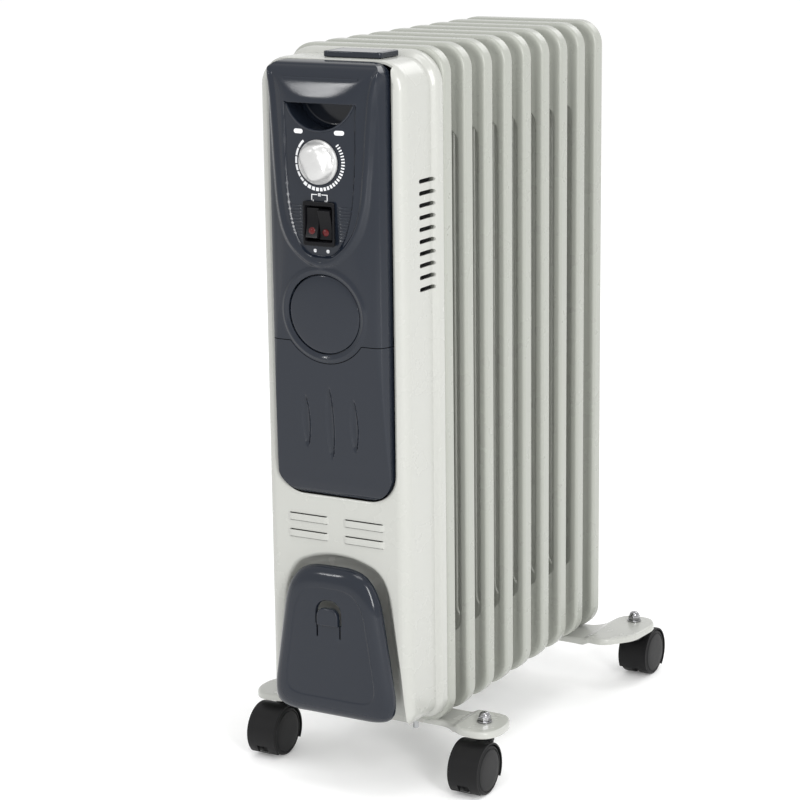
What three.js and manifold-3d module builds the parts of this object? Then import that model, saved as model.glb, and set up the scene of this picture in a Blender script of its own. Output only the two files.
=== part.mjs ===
// Oil filled radiator heater: nine pressed steel fins joined at their top and bottom hubs, a painted
// steel control housing in front of them, and two cross brackets carried on four twin-wheel casters.
// X runs to the right, Y to the back and Z up, in millimetres. The origin is on the floor, below the
// middle of the object's box.
import * as THREE from "three";
import { mergeVertices, toCreasedNormals } from "three/addons/utils/BufferGeometryUtils.js";
import Module from "manifold-3d";

const wasm = await Module();
wasm.setup();

// Overall sizes. Y is counted from the housing's front face until the last step centres the object.
const touchGap = 0.3;
const runningGap = 0.08;
const finCount = 9;
const finPitch = 37;
const finWidth = 150;
const finHeight = 590;
const finBottomZ = 55;
const finTopZ = finBottomZ + finHeight;
const finDepth = 14;
const finCornerRadius = 22.5;
const finRidgeRadius = 3;
const finSheet = 1.4;
const finRim = 2.8;
const firstFinFrontY = 60;
const slotOuterX = 66;
const slotWidth = 22;
const slotEndInset = 72;
const columnHalfWidth = 34;
const columnProud = 4;
const columnDepth = 14;
const columnEndInset = 20;
const hubRadius = 24;
const hubInset = 50;
const hubProud = 9;
const boreRadius = 15;
const lowHubZ = finBottomZ + hubInset;
const highHubZ = finTopZ - hubInset;

const housingHalfWidth = 69.5;
const housingBottomZ = 67;
const housingTopZ = 638;
const housingDepth = firstFinFrontY - touchGap * 2;
const housingWall = 1.6;
const housingTopRadius = 24;
const housingBottomRadius = 14;
const housingFrontRadius = 11;
const flareOut = 5;
const flareDepth = 11;

const panelHalfWidth = 56.5;
const panelBottomZ = 268;
const panelTopZ = 636.5;
const panelSkin = 3;
const panelBackY = 6;
const panelGap = 0.9;
const grooveDepth = 1.4;
const seamZ = 403;
const seamGap = 0.6;
const discZ = 427.5;
const discRadius = 34;
const discCollarRadius = 42;
const knobZ = 555.5;
const knobRadius = 18.5;
const knobHeight = 13;
const knobShaftRadius = 3;
const shieldDepth = 2;
const shieldFloorY = -17.5;
const gripEdgeZ = 604;
const gripHalfWidth = 33;
const gripDrop = 23;
const gripRoomTopZ = 626;
const gripBackY = 12;
const cupWall = 2;
const switchZ = 504.5;
const switchWidth = 30;
const switchHeight = 37;
const rockerWidth = 11.6;
const rockerHalfHeight = 12.3;
const rockerTilt = 8;

const recessHalfBottom = 68.5;
const recessHalfTop = 37;
const recessTopZ = 214;
const recessDepth = 20;
const stripColumns = [-28, 27];
const stripRows = [245, 230.3];
const stripHalfWidth = 19.5;
const stripHalfHeight = 2.9;
const stripSlit = 0.7;
const stripProud = 1.5;

const hookTopZ = 207.5;
const hookBottomZ = 73;
const hookBackY = -4;
const hookEdge = 3;
const hookCrown = 9.5;
const hookTaper = 0.25;
const hookMiddleZ = 141;
const hookSkin = 3;
const hookFrontY = hookBackY - hookEdge - hookCrown;
const clipHalfWidth = 10.5;
const clipSlit = 1.6;
const clipLowZ = 146;
const clipStepZ = 158;
const clipTopZ = 173;
const clipProud = 3;
const padMiddleX = 14.5;
const padHalfWidth = 27.5;
const padFrontY = 13;
const padBackY = 45;
const padThickness = 5;
const glandRadius = 6.6;
const glandY = 34;

const stemX = 103;
const frontStemY = 74;
const rearStemY = 392;
const wheelRadius = 22;
const wheelWidth = 12.6;
const wheelInnerX = 2.4;
const casterTrail = 19;
const hoodRadius = 24.5;
const hoodInnerRadius = 22.8;
const hoodHalfWidth = 14.6;
const hoodTopZ = 47;
const axleRadius = 2.5;
const stemRadius = 3;
const bracketSheet = 2;
const bracketPlateTopZ = 58;
const bracketArmTopZ = finBottomZ - touchGap;
const bracketRim = 6;
const armHalfDepth = 16;
const uBoltRadius = 2.5;
const boltLegX = hubRadius + uBoltRadius + 1;

const finishes = {
  fins: { color: 0xb9bab3, roughness: 0.35, metalness: 0.0 },
  housing: { color: 0xdfe1da, roughness: 0.28, metalness: 0.0 },
  slate: { color: 0x474a54, roughness: 0.3, metalness: 0.0 },
  knob: { color: 0xe2e2e0, roughness: 0.3, metalness: 0.2 },
  black: { color: 0x18181a, roughness: 0.45, metalness: 0.0 },
  caster: { color: 0x232326, roughness: 0.5, metalness: 0.0 },
  chrome: { color: 0xd8d8da, roughness: 0.12, metalness: 1.0 },
  zinc: { color: 0xa9abae, roughness: 0.4, metalness: 1.0 },
  element: { color: 0x8f8c86, roughness: 0.45, metalness: 1.0 },
  phenolic: { color: 0x2b2420, roughness: 0.6, metalness: 0.0 },
};

const creaseAngle = THREE.MathUtils.degToRad(35);
const quarterTurn = Math.PI / 2;

// Solids and the joining and cutting of them.
function solidFrom(geometry) {
  const bare = geometry.index ? geometry.toNonIndexed() : geometry.clone();
  bare.deleteAttribute("normal");
  bare.deleteAttribute("uv");
  const merged = mergeVertices(bare, 1e-4);
  const triVerts = new Uint32Array(merged.index.array);
  const vertProperties = merged.attributes.position.array;
  return new wasm.Manifold(new wasm.Mesh({ numProp: 3, vertProperties, triVerts }));
}

function geometryFrom(solid) {
  const made = solid.getMesh();
  const geometry = new THREE.BufferGeometry();
  geometry.setAttribute("position", new THREE.BufferAttribute(new Float32Array(made.vertProperties), 3));
  geometry.setIndex(new THREE.BufferAttribute(new Uint32Array(made.triVerts), 1));
  return toCreasedNormals(geometry, creaseAngle);
}

function joined(solids) {
  return solids.reduce((whole, piece) => whole.add(piece));
}

function cut(solid, tools) {
  return tools.reduce((rest, tool) => rest.subtract(tool), solid);
}

// Extrusions of a flat outline. bevel rounds both ends inwards by that much.
function extruded(shape, length, fineness, bevel, bevelSteps) {
  return new THREE.ExtrudeGeometry(shape, {
    depth: length - 2 * bevel,
    curveSegments: fineness,
    bevelEnabled: bevel > 0,
    bevelThickness: bevel,
    bevelSize: bevel,
    bevelOffset: -bevel,
    bevelSegments: bevelSteps,
  }).translate(0, 0, bevel);
}

// An outline drawn in X and Z, extruded from yLow to yHigh.
function alongY(shape, yLow, yHigh, fineness = 3, bevel = 0, bevelSteps = 2) {
  const geometry = extruded(shape, yHigh - yLow, fineness, bevel, bevelSteps);
  return solidFrom(geometry.rotateX(quarterTurn).translate(0, yHigh, 0));
}

// Turns a shape drawn in X and Y, and extruded along Z, into one drawn in Y and Z and extruded along X.
const drawnInYZ = new THREE.Matrix4().makeBasis(
  new THREE.Vector3(0, 1, 0),
  new THREE.Vector3(0, 0, 1),
  new THREE.Vector3(1, 0, 0),
);

// An outline drawn in Y and Z, extruded from xLow to xHigh.
function alongX(shape, xLow, xHigh, fineness = 3, bevel = 0, bevelSteps = 2) {
  const geometry = extruded(shape, xHigh - xLow, fineness, bevel, bevelSteps);
  return solidFrom(geometry.applyMatrix4(drawnInYZ).translate(xLow, 0, 0));
}

// An outline drawn in X and Y, extruded from zLow to zHigh.
function alongZ(shape, zLow, zHigh, fineness = 3, bevel = 0, bevelSteps = 2) {
  const geometry = extruded(shape, zHigh - zLow, fineness, bevel, bevelSteps);
  return solidFrom(geometry.translate(0, 0, zLow));
}

// A slab along Y whose near end is rounded and whose far end is square.
function roundFrontSlab(shape, yLow, yHigh, fineness, bevel, bevelSteps) {
  const long = alongY(shape, yLow, yHigh + 2 * bevel, fineness, bevel, bevelSteps);
  return long.subtract(block(-500, 500, yHigh, yHigh + 4 * bevel, -100, 1000));
}

function block(xLow, xHigh, yLow, yHigh, zLow, zHigh) {
  const geometry = new THREE.BoxGeometry(xHigh - xLow, yHigh - yLow, zHigh - zLow);
  geometry.translate((xLow + xHigh) / 2, (yLow + yHigh) / 2, (zLow + zHigh) / 2);
  return solidFrom(geometry);
}

function rodY(radius, yLow, yHigh, x, z, sides = 24) {
  const geometry = new THREE.CylinderGeometry(radius, radius, yHigh - yLow, sides);
  return solidFrom(geometry.translate(x, (yLow + yHigh) / 2, z));
}

function rodZ(radius, zLow, zHigh, x, y, sides = 24, topRadius = radius) {
  const geometry = new THREE.CylinderGeometry(topRadius, radius, zHigh - zLow, sides);
  return solidFrom(geometry.rotateX(quarterTurn).translate(x, y, (zLow + zHigh) / 2));
}

function rodX(radius, xLow, xHigh, y, z, sides = 24) {
  const geometry = new THREE.CylinderGeometry(radius, radius, xHigh - xLow, sides);
  return solidFrom(geometry.rotateZ(quarterTurn).translate((xLow + xHigh) / 2, y, z));
}

// Outlines.
function roundedOutline(halfWidth, low, high, lowRadius, highRadius) {
  const shape = new THREE.Shape();
  shape.absarc(-halfWidth + lowRadius, low + lowRadius, lowRadius, Math.PI, 1.5 * Math.PI);
  shape.absarc(halfWidth - lowRadius, low + lowRadius, lowRadius, 1.5 * Math.PI, 2 * Math.PI);
  shape.absarc(halfWidth - highRadius, high - highRadius, highRadius, 0, quarterTurn);
  shape.absarc(-halfWidth + highRadius, high - highRadius, highRadius, quarterTurn, Math.PI);
  return shape;
}

// A polygon whose corners are softened by the given radius.
function softPolygon(points, radius) {
  const shape = new THREE.Shape();
  const corners = points.map(([x, y]) => new THREE.Vector2(x, y));
  corners.forEach((corner, index) => {
    const before = corners[(index + corners.length - 1) % corners.length];
    const after = corners[(index + 1) % corners.length];
    const reachIn = Math.min(radius, corner.distanceTo(before) * 0.45);
    const reachOut = Math.min(radius, corner.distanceTo(after) * 0.45);
    const start = corner.clone().lerp(before, reachIn / corner.distanceTo(before));
    const end = corner.clone().lerp(after, reachOut / corner.distanceTo(after));
    if (index === 0) shape.moveTo(start.x, start.y);
    else shape.lineTo(start.x, start.y);
    shape.quadraticCurveTo(corner.x, corner.y, end.x, end.y);
  });
  shape.closePath();
  return shape;
}

const parts = [];

function addPart(name, solid, finish) {
  parts.push({ name, solid, finish });
}

// Fins: a pressed tray with its rim turned back, an oil column down the middle with a hub at each end,
// and a long round-ended slot on each side of the column. The last fin closes the row without slots.
function finSlot(side) {
  const middle = side * (slotOuterX - slotWidth / 2);
  const low = finBottomZ + slotEndInset;
  const high = finTopZ - slotEndInset;
  const shape = new THREE.Shape();
  shape.absarc(middle, low, slotWidth / 2, Math.PI, 2 * Math.PI);
  shape.absarc(middle, high, slotWidth / 2, 0, Math.PI);
  return shape;
}

function finSolid(index) {
  const frontY = firstFinFrontY + index * finPitch;
  const isLast = index === finCount - 1;
  const outline = roundedOutline(finWidth / 2, finBottomZ, finTopZ, finCornerRadius, finCornerRadius);
  const innerRadius = finCornerRadius - finRim;
  const inner = roundedOutline(
    finWidth / 2 - finRim,
    finBottomZ + finRim,
    finTopZ - finRim,
    innerRadius,
    innerRadius,
  );
  const outer = roundFrontSlab(outline, frontY, frontY + finDepth, 2, finRidgeRadius, 1);
  const hollow = alongY(inner, frontY + finSheet, frontY + 2 * finDepth, 2);
  const columnLow = finBottomZ + columnEndInset;
  const columnHigh = finTopZ - columnEndInset;
  const columnFront = frontY - columnProud;
  const columnBack = columnFront + columnDepth;
  const columnShape = roundedOutline(columnHalfWidth, columnLow, columnHigh, 28, 28);
  const column = alongY(columnShape, columnFront, columnBack, 1);
  const hubFront = frontY - hubProud;
  const hubBack = isLast ? columnBack + 2 : hubFront + finPitch - touchGap;
  const hubs = [lowHubZ, highHubZ].map((z) => rodY(hubRadius, hubFront, hubBack, 0, z, 12));
  const boreBack = isLast ? columnBack - finSheet : hubBack + 1;
  const bores = [lowHubZ, highHubZ].map((z) => rodY(boreRadius, hubFront - 1, boreBack, 0, z, 12));
  const slotSides = isLast ? [] : [-1, 1];
  const slots = slotSides.map((side) => alongY(finSlot(side), frontY - 5, frontY + 5, 2));
  const tray = cut(outer, [hollow, ...slots]);
  return cut(joined([tray, column, ...hubs]), bores);
}

function addFins() {
  for (let index = 0; index < finCount; index += 1) {
    addPart(`fin_${index + 1}`, finSolid(index), "fins");
  }
}

// Electric element in the bottom bore: a hairpin tube on a hexagonal screw plug.
function addElementAndPlug() {
  const plateBack = firstFinFrontY - hubProud - touchGap;
  const plugBack = plateBack - 1.5 - touchGap;
  const bendY = firstFinFrontY + (finCount - 2) * finPitch;
  const spacing = 7;
  const tubeRadius = 4;
  const bend = new THREE.CatmullRomCurve3(
    [0, 1, 2, 3, 4].map((step) => {
      const angle = Math.PI - (step * Math.PI) / 4;
      return new THREE.Vector3(spacing * Math.cos(angle), bendY + spacing * Math.sin(angle) - 0.1, lowHubZ);
    }),
  );
  const ring = new THREE.Shape().absarc(0, 0, tubeRadius, 0, 2 * Math.PI);
  const turn = solidFrom(new THREE.ExtrudeGeometry(ring, { steps: 6, extrudePath: bend, curveSegments: 4 }));
  const legs = [-spacing, spacing].map((x) => rodY(tubeRadius, plugBack - 2, bendY, x, lowHubZ, 12));
  const head = rodY(19, plugBack - 9, plugBack, 0, lowHubZ, 6);
  const thread = rodY(boreRadius - 1, plugBack - 1, firstFinFrontY - 2, 0, lowHubZ, 16);
  const terminals = [-spacing, spacing].map((x) => rodY(3, plugBack - 19, plugBack - 8, x, lowHubZ, 10));
  addPart("heating_element", joined([turn, ...legs, head, thread, ...terminals]), "element");
  const plug = joined([
    rodY(17, plugBack - 7, plugBack, 0, highHubZ, 6),
    rodY(boreRadius - 1, plugBack - 1, firstFinFrontY - 2, 0, highHubZ, 16),
  ]);
  addPart("oil_filler_plug", plug, "zinc");
}

// Housing: a drawn steel cover, open at the back, with an opening for the control panel, an arched
// recess for the stored cord, cooling slots and four pairs of raised louvres.
function housingForm(inset, backY) {
  const half = housingHalfWidth - inset;
  const low = housingBottomZ + inset;
  const high = housingTopZ - inset;
  const body = roundedOutline(half, low, high, housingBottomRadius - inset, housingTopRadius - inset);
  const fineness = inset > 0 ? 1 : 2;
  const front = roundFrontSlab(body, inset, backY, fineness, housingFrontRadius - inset, fineness);
  const wide = roundedOutline(
    half + flareOut,
    low - flareOut,
    high + flareOut,
    housingBottomRadius - inset + flareOut,
    housingTopRadius - inset + flareOut,
  );
  const flare = roundFrontSlab(wide, housingDepth - flareDepth + inset, backY, fineness, flareOut, 1);
  return front.add(flare);
}

function recessOutline(grow) {
  const low = housingBottomZ - 20;
  return softPolygon(
    [
      [-recessHalfBottom - grow, low],
      [recessHalfBottom + grow, low],
      [recessHalfTop + 10 + grow, recessTopZ - 12 + grow],
      [recessHalfTop - 22, recessTopZ + grow],
      [-recessHalfTop + 22, recessTopZ + grow],
      [-recessHalfTop - 10 - grow, recessTopZ - 12 + grow],
    ],
    26,
  );
}

// Places of the pressed strips: two columns of two.
function stripPlaces() {
  return stripColumns.flatMap((x) => stripRows.map((z) => [x, z]));
}

// Cooling strips pressed outwards, joined to the sheet at their two ends, with a slit above and below.
function pressedStrips() {
  return stripPlaces().map(([x, z]) => {
    const shape = new THREE.Shape();
    shape.moveTo(x - stripHalfWidth - 1, 0);
    shape.lineTo(x - stripHalfWidth + 2, -stripProud);
    shape.lineTo(x + stripHalfWidth - 2, -stripProud);
    shape.lineTo(x + stripHalfWidth + 1, 0);
    shape.lineTo(x + stripHalfWidth + 1, housingWall);
    shape.lineTo(x + stripHalfWidth - 2, housingWall - stripProud);
    shape.lineTo(x - stripHalfWidth + 2, housingWall - stripProud);
    shape.lineTo(x - stripHalfWidth - 1, housingWall);
    shape.closePath();
    return alongZ(shape, z - stripHalfHeight, z + stripHalfHeight, 1);
  });
}

function stripWindows() {
  const reachX = stripHalfWidth - 1;
  const reachZ = stripHalfHeight + stripSlit;
  return stripPlaces().map(([x, z]) => block(x - reachX, x + reachX, -3, 3, z - reachZ, z + reachZ));
}

function sideSlots() {
  const made = [];
  const slotCount = 10;
  const slotPitch = 10.07;
  const topSlotZ = 537.5;
  for (let index = 0; index < slotCount; index += 1) {
    const z = topSlotZ - index * slotPitch;
    const shape = roundedSlot(26, 49, z, 1.8);
    made.push(alongX(shape, housingHalfWidth - 10, housingHalfWidth + 10, 1));
    made.push(alongX(shape, -housingHalfWidth - 10, -housingHalfWidth + 10, 1));
  }
  return made;
}

function roundedSlot(start, end, middle, radius) {
  const shape = new THREE.Shape();
  shape.absarc(start + radius, middle, radius, quarterTurn, 1.5 * Math.PI);
  shape.absarc(end - radius, middle, radius, -quarterTurn, quarterTurn);
  return shape;
}

function addHousing() {
  const outer = housingForm(0, housingDepth);
  const hollow = housingForm(housingWall, housingDepth + 5);
  const recessWall = alongY(recessOutline(housingWall), 3, recessDepth + housingWall, 2).intersect(outer);
  const recess = alongY(recessOutline(0), -5, recessDepth, 2);
  const opening = alongY(
    softPolygon(
      [
        [-panelHalfWidth - panelGap, panelBottomZ - panelGap],
        [panelHalfWidth + panelGap, panelBottomZ - panelGap],
        [panelHalfWidth + panelGap, panelTopZ + 40],
        [-panelHalfWidth - panelGap, panelTopZ + 40],
      ],
      24,
    ),
    -5,
    panelBackY + touchGap,
    3,
  );
  const glandHole = rodZ(glandRadius + 0.4, housingBottomZ - 10, housingBottomZ + 10, 0, glandY, 16);
  let shell = outer.subtract(hollow).add(recessWall);
  shell = cut(shell, [recess, opening, glandHole, ...sideSlots(), ...stripWindows()]);
  shell = joined([shell, ...pressedStrips()]);
  addPart("housing_shell", shell, "housing");

  const plateBack = firstFinFrontY - hubProud - touchGap;
  const backPlate = alongY(
    roundedOutline(housingHalfWidth - housingWall - 1.4, 71, 634, 16, 26),
    plateBack - 1.5,
    plateBack,
    3,
  );
  const holes = [lowHubZ, highHubZ].map((z) => rodY(boreRadius, 30, 60, 0, z, 16));
  addPart("housing_back_plate", cut(backPlate, holes), "zinc");
  const gland = joined([
    rodZ(glandRadius + 3.4, housingBottomZ - 6, housingBottomZ - touchGap, 0, glandY, 16),
    rodZ(glandRadius, housingBottomZ - 1, housingBottomZ + 10, 0, glandY, 16),
  ]);
  addPart("cord_gland", gland.subtract(rodZ(3.6, 40, 100, 0, glandY, 12)), "black");
}

// Control panel: a crowned moulding, thickest near the grip and running out flush at its lower end.
function panelProfile(shift) {
  const front = [
    [4, panelTopZ],
    [-8, panelTopZ - 2],
    [-15, panelTopZ - 9],
    [-19, panelTopZ - 22],
    [-20, 590],
    [-20, 540],
    [-17.5, 480],
    [-13, 420],
    [-8, 340],
    [-3.5, 290],
    [-1, 274],
    [2, panelBottomZ],
  ];
  const shape = new THREE.Shape();
  shape.moveTo(panelBackY + 30, panelBottomZ - shift);
  shape.lineTo(panelBackY + 30, panelTopZ - shift);
  front.forEach(([y, z]) => shape.lineTo(y + shift, z - (z > 600 ? shift : 0)));
  shape.closePath();
  return shape;
}

function panelSection(shift) {
  const half = [
    [panelHalfWidth, 1],
    [55, -3.5],
    [52, -8],
    [45, -12.5],
    [34, -16.5],
    [20, -19],
    [7, -20],
  ];
  const shape = new THREE.Shape();
  shape.moveTo(-panelHalfWidth + shift, panelBackY + 30);
  shape.lineTo(-panelHalfWidth + shift, 1 + shift);
  half.forEach(([x, y]) => shape.lineTo(-x * (1 - shift / panelHalfWidth), y + shift));
  half.reverse().forEach(([x, y]) => shape.lineTo(x * (1 - shift / panelHalfWidth), y + shift));
  shape.lineTo(panelHalfWidth - shift, panelBackY + 30);
  shape.closePath();
  return shape;
}

function panelForm(shift, backY) {
  const side = alongX(panelProfile(shift), -80, 80, 1);
  const across = alongZ(panelSection(shift), 200, 700, 1);
  const outline = alongY(
    roundedOutline(panelHalfWidth - shift, panelBottomZ + shift, panelTopZ - shift, 24 - shift, 16 - shift),
    -40,
    backY,
    3,
  );
  return side.intersect(across).intersect(outline);
}

function shieldOutline() {
  const shape = new THREE.Shape();
  shape.moveTo(-41, 612);
  shape.bezierCurveTo(-38, 550, -40, 474, 0, 473);
  shape.bezierCurveTo(40, 474, 38, 550, 41, 612);
  shape.closePath();
  return shape;
}

function gripOutline(grow, topZ) {
  const radius = (gripHalfWidth ** 2 + gripDrop ** 2) / (2 * gripDrop);
  const middleZ = gripEdgeZ - gripDrop + radius;
  const edgeZ = Math.min(middleZ, topZ);
  const swing = Math.asin((middleZ - edgeZ) / radius);
  const shape = new THREE.Shape();
  shape.absarc(0, middleZ, radius + grow, Math.PI + swing, 2 * Math.PI - swing);
  if (topZ > middleZ) {
    shape.lineTo(radius + grow, topZ + grow);
    shape.lineTo(-radius - grow, topZ + grow);
  }
  shape.closePath();
  return shape;
}

function addPanel() {
  const backY = panelBackY;
  const outer = panelForm(0, backY);
  const hollow = panelForm(panelSkin, backY + 5);
  const seamBlock = block(-90, 90, -60, 60, seamZ, 700);
  const collar = rodY(discCollarRadius, -60, 60, 0, discZ, 32);
  const upperZone = seamBlock.add(collar);
  const seamDisc = rodY(discCollarRadius + seamGap, -60, 60, 0, discZ, 32);
  const seamGapZone = block(-90, 90, -60, 60, seamZ - seamGap, 700).add(seamDisc);
  const skin = outer.subtract(hollow);

  const shield = alongY(shieldOutline(), -60, shieldFloorY, 6);
  const grip = alongY(gripOutline(0, gripEdgeZ), -60, 0, 5);
  const discHole = rodY(discRadius + 0.5, -60, -8.5, 0, discZ, 28);
  const discFloor = rodY(discCollarRadius - 3, -8.5, -5.5, 0, discZ, 20);
  const shieldBacking = alongY(shieldOutline(), shieldFloorY, shieldFloorY + panelSkin, 6).intersect(outer);
  const shaftHole = rodY(knobShaftRadius + 0.6, -60, 0, 0, knobZ, 16);
  const switchHole = block(
    -switchWidth / 2 + 1.5,
    switchWidth / 2 - 1.5,
    -60,
    0,
    switchZ - switchHeight / 2 + 1.5,
    switchZ + switchHeight / 2 - 1.5,
  );
  let upper = skin.intersect(upperZone).add(shieldBacking);
  upper = upper.add(discFloor.intersect(outer));
  upper = cut(upper, [shield, grip, discHole, shaftHole, switchHole]);
  addPart("control_panel", upper, "slate");

  const belowGrooves = panelForm(grooveDepth, backY + 30);
  const grooves = [
    [-23.5, 333, 25],
    [0, 333, 36],
    [23.5, 333, 25],
  ].map(([x, z, reach]) => {
    const shape = new THREE.Shape();
    shape.absellipse(x, z, 4.2, reach, 0, 2 * Math.PI);
    return alongY(shape, -40, 20, 5).subtract(belowGrooves);
  });
  addPart("lower_cover", cut(skin.subtract(seamGapZone), grooves), "slate");

  const round = new THREE.Shape().absarc(0, discZ, discRadius, 0, 2 * Math.PI);
  addPart("badge_disc", alongY(round, -14.2, -8.8, 14, 1, 1), "slate");

  const cupFront = shieldFloorY + panelSkin + touchGap;
  const cupOuter = alongY(gripOutline(cupWall, gripRoomTopZ), cupFront, gripBackY, 5);
  const cupInner = alongY(gripOutline(0, gripRoomTopZ), cupFront - 5, gripBackY - cupWall, 5);
  const insidePanel = panelForm(panelSkin + touchGap, gripBackY + 5);
  addPart("grip_cup", cupOuter.subtract(cupInner).intersect(insidePanel), "slate");
}

function addTopPad() {
  const shape = roundedOutline(padHalfWidth, padFrontY, padBackY, 3, 3);
  const low = housingTopZ + touchGap;
  addPart("top_pad", alongZ(shape, low, low + padThickness, 3, 1, 1).translate(padMiddleX, 0, 0), "slate");
}

// Knob on its own shaft, the thermostat that it turns, and the pair of rocker switches.
function addControls() {
  const baseY = shieldFloorY - touchGap;
  const profile = [
    [0, knobHeight],
    [9, knobHeight],
    [12.5, knobHeight - 1.5],
    [15.5, 5],
    [knobRadius - 0.6, 2.2],
    [knobRadius, 0],
    [0, 0],
  ].map(([radius, height]) => new THREE.Vector2(radius, height));
  const dome = new THREE.LatheGeometry(profile.reverse(), 32).rotateX(Math.PI).translate(0, baseY, knobZ);
  const scoops = [-1, 1].map((side) => {
    const scoop = new THREE.CylinderGeometry(14, 14, 60, 20);
    scoop.rotateX(quarterTurn);
    scoop.translate(side * 19.5, baseY - knobHeight - 4, 0);
    scoop.rotateY(-0.6);
    return solidFrom(scoop.translate(0, 0, knobZ));
  });
  const shaft = rodY(knobShaftRadius, baseY - 2, baseY + 14, 0, knobZ, 16);
  addPart("thermostat_knob", cut(solidFrom(dome), scoops).add(shaft), "knob");

  const bodyFront = shieldFloorY + panelSkin + touchGap;
  const body = joined([
    alongY(roundedOutline(18, knobZ - 14, knobZ + 14, 3, 3), bodyFront, bodyFront + 16, 2),
    block(-24, 24, bodyFront + 12, bodyFront + 14, knobZ - 8, knobZ + 8),
  ]);
  const shaftRoom = rodY(knobShaftRadius + runningGap, bodyFront - 5, bodyFront + 13, 0, knobZ, 16);
  addPart("thermostat_body", body.subtract(shaftRoom), "phenolic");

  const bezelBack = shieldFloorY - touchGap;
  const bezelFront = bezelBack - 2;
  const pocketHalfWidth = rockerWidth + 0.55;
  const pocketHalfHeight = 13.9;
  const pocketBack = bezelBack + 9;
  const bezel = alongY(
    roundedOutline(switchWidth / 2, switchZ - switchHeight / 2, switchZ + switchHeight / 2, 2, 2),
    bezelFront,
    bezelBack,
    2,
    0.6,
    1,
  );
  const backBox = block(
    -switchWidth / 2 + 1.8,
    switchWidth / 2 - 1.8,
    bezelBack - 1,
    pocketBack + 3,
    switchZ - switchHeight / 2 + 1.8,
    switchZ + switchHeight / 2 - 1.8,
  );
  const pocket = block(
    -pocketHalfWidth,
    pocketHalfWidth,
    bezelFront - 5,
    pocketBack,
    switchZ - pocketHalfHeight,
    switchZ + pocketHalfHeight,
  );
  addPart("switch_frame", bezel.add(backBox).subtract(pocket), "black");

  const pivotY = bezelBack + 3;
  [-1, 1].forEach((side) => {
    const shape = new THREE.Shape();
    shape.moveTo(-5.6, -rockerHalfHeight);
    shape.lineTo(-3.9, 0);
    shape.lineTo(-5.6, rockerHalfHeight);
    shape.lineTo(-1, rockerHalfHeight + 0.6);
    shape.lineTo(4.4, 5);
    shape.lineTo(4.4, -5);
    shape.lineTo(-1, -rockerHalfHeight - 0.6);
    shape.closePath();
    const turned = extruded(shape, rockerWidth, 1, 0, 1);
    turned.applyMatrix4(drawnInYZ).translate(side < 0 ? -rockerWidth - 0.25 : 0.25, 0, 0);
    turned.rotateX(THREE.MathUtils.degToRad(side * rockerTilt)).translate(0, pivotY, switchZ);
    addPart(side < 0 ? "rocker_left" : "rocker_right", solidFrom(turned), "black");
  });
}

// Inside the housing: the thermal cut-out on the back plate and the tip-over switch low down.
function addSafetyDevices() {
  const plateFront = firstFinFrontY - hubProud - touchGap - 1.5;
  const cutout = rodY(12, plateFront - 9, plateFront - touchGap, 0, 330, 20).add(
    block(-20, 20, plateFront - 2, plateFront - touchGap, 326, 334),
  );
  addPart("thermal_cutout", cutout, "phenolic");
  addPart("tip_over_switch", block(-16, 16, plateFront - 18, plateFront - touchGap, 236, 262), "phenolic");
}

// Pillow-shaped plate that covers the stored cord, with the clip that holds the plug.
function hookPillow(shrink, backwards) {
  const points = [
    [-45, hookTopZ - 20],
    [-28, hookTopZ],
    [28, hookTopZ],
    [45, hookTopZ - 20],
    [61, hookBottomZ + 13],
    [51, hookBottomZ],
    [-51, hookBottomZ],
    [-61, hookBottomZ + 13],
  ].reverse();
  const outline = softPolygon(points, 18);
  const geometry = new THREE.ExtrudeGeometry(outline, { depth: 1, steps: 4, curveSegments: 4, bevelEnabled: false });
  const place = geometry.attributes.position;
  for (let index = 0; index < place.count; index += 1) {
    const rise = place.getZ(index);
    const taper = 1 - hookTaper * Math.max(0, rise * 4 - 1) ** 2 / 9 - shrink / 60;
    const y = rise < 0.2 ? hookBackY + 5 : hookBackY - hookEdge - hookCrown * Math.sin(quarterTurn * (rise * 4 - 1) / 3);
    const x = place.getX(index) * taper;
    const z = hookMiddleZ + (place.getY(index) - hookMiddleZ) * taper;
    place.setXYZ(index, x, y + backwards, z);
  }
  return solidFrom(geometry).subtract(block(-100, 100, hookBackY, 60, 0, 300));
}

function clipOpening(middleX, halfWidth, low, high, radius) {
  const shape = roundedOutline(halfWidth, low, high, Math.min(radius, 0.5), radius);
  return alongY(shape, hookFrontY - 5, hookBackY + 5, 3).translate(middleX, 0, 0);
}

function addHookPlate() {
  const hollow = hookPillow(hookSkin, hookSkin).translate(0, 0.01, 0);
  const post = alongY(roundedOutline(20, 98, 138, 8, 8), hookFrontY + 1, recessDepth - touchGap, 2);
  const arch = clipOpening(0, clipHalfWidth + clipSlit, clipStepZ, clipTopZ + 6, 10);
  const slits = [-1, 1].map((side) => {
    return clipOpening(side * (clipHalfWidth + clipSlit / 2), clipSlit / 2, clipLowZ, clipStepZ + 2, 0.5);
  });
  const tongue = alongY(
    roundedOutline(clipHalfWidth, clipStepZ - 1, clipTopZ, 1, 8),
    hookFrontY - clipProud,
    hookFrontY + hookSkin,
    3,
    0.8,
    1,
  );
  const plate = hookPillow(0, 0).subtract(hollow).add(post);
  addPart("cord_hook_plate", cut(plate, [arch, ...slits]).add(tongue), "slate");
}

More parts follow.
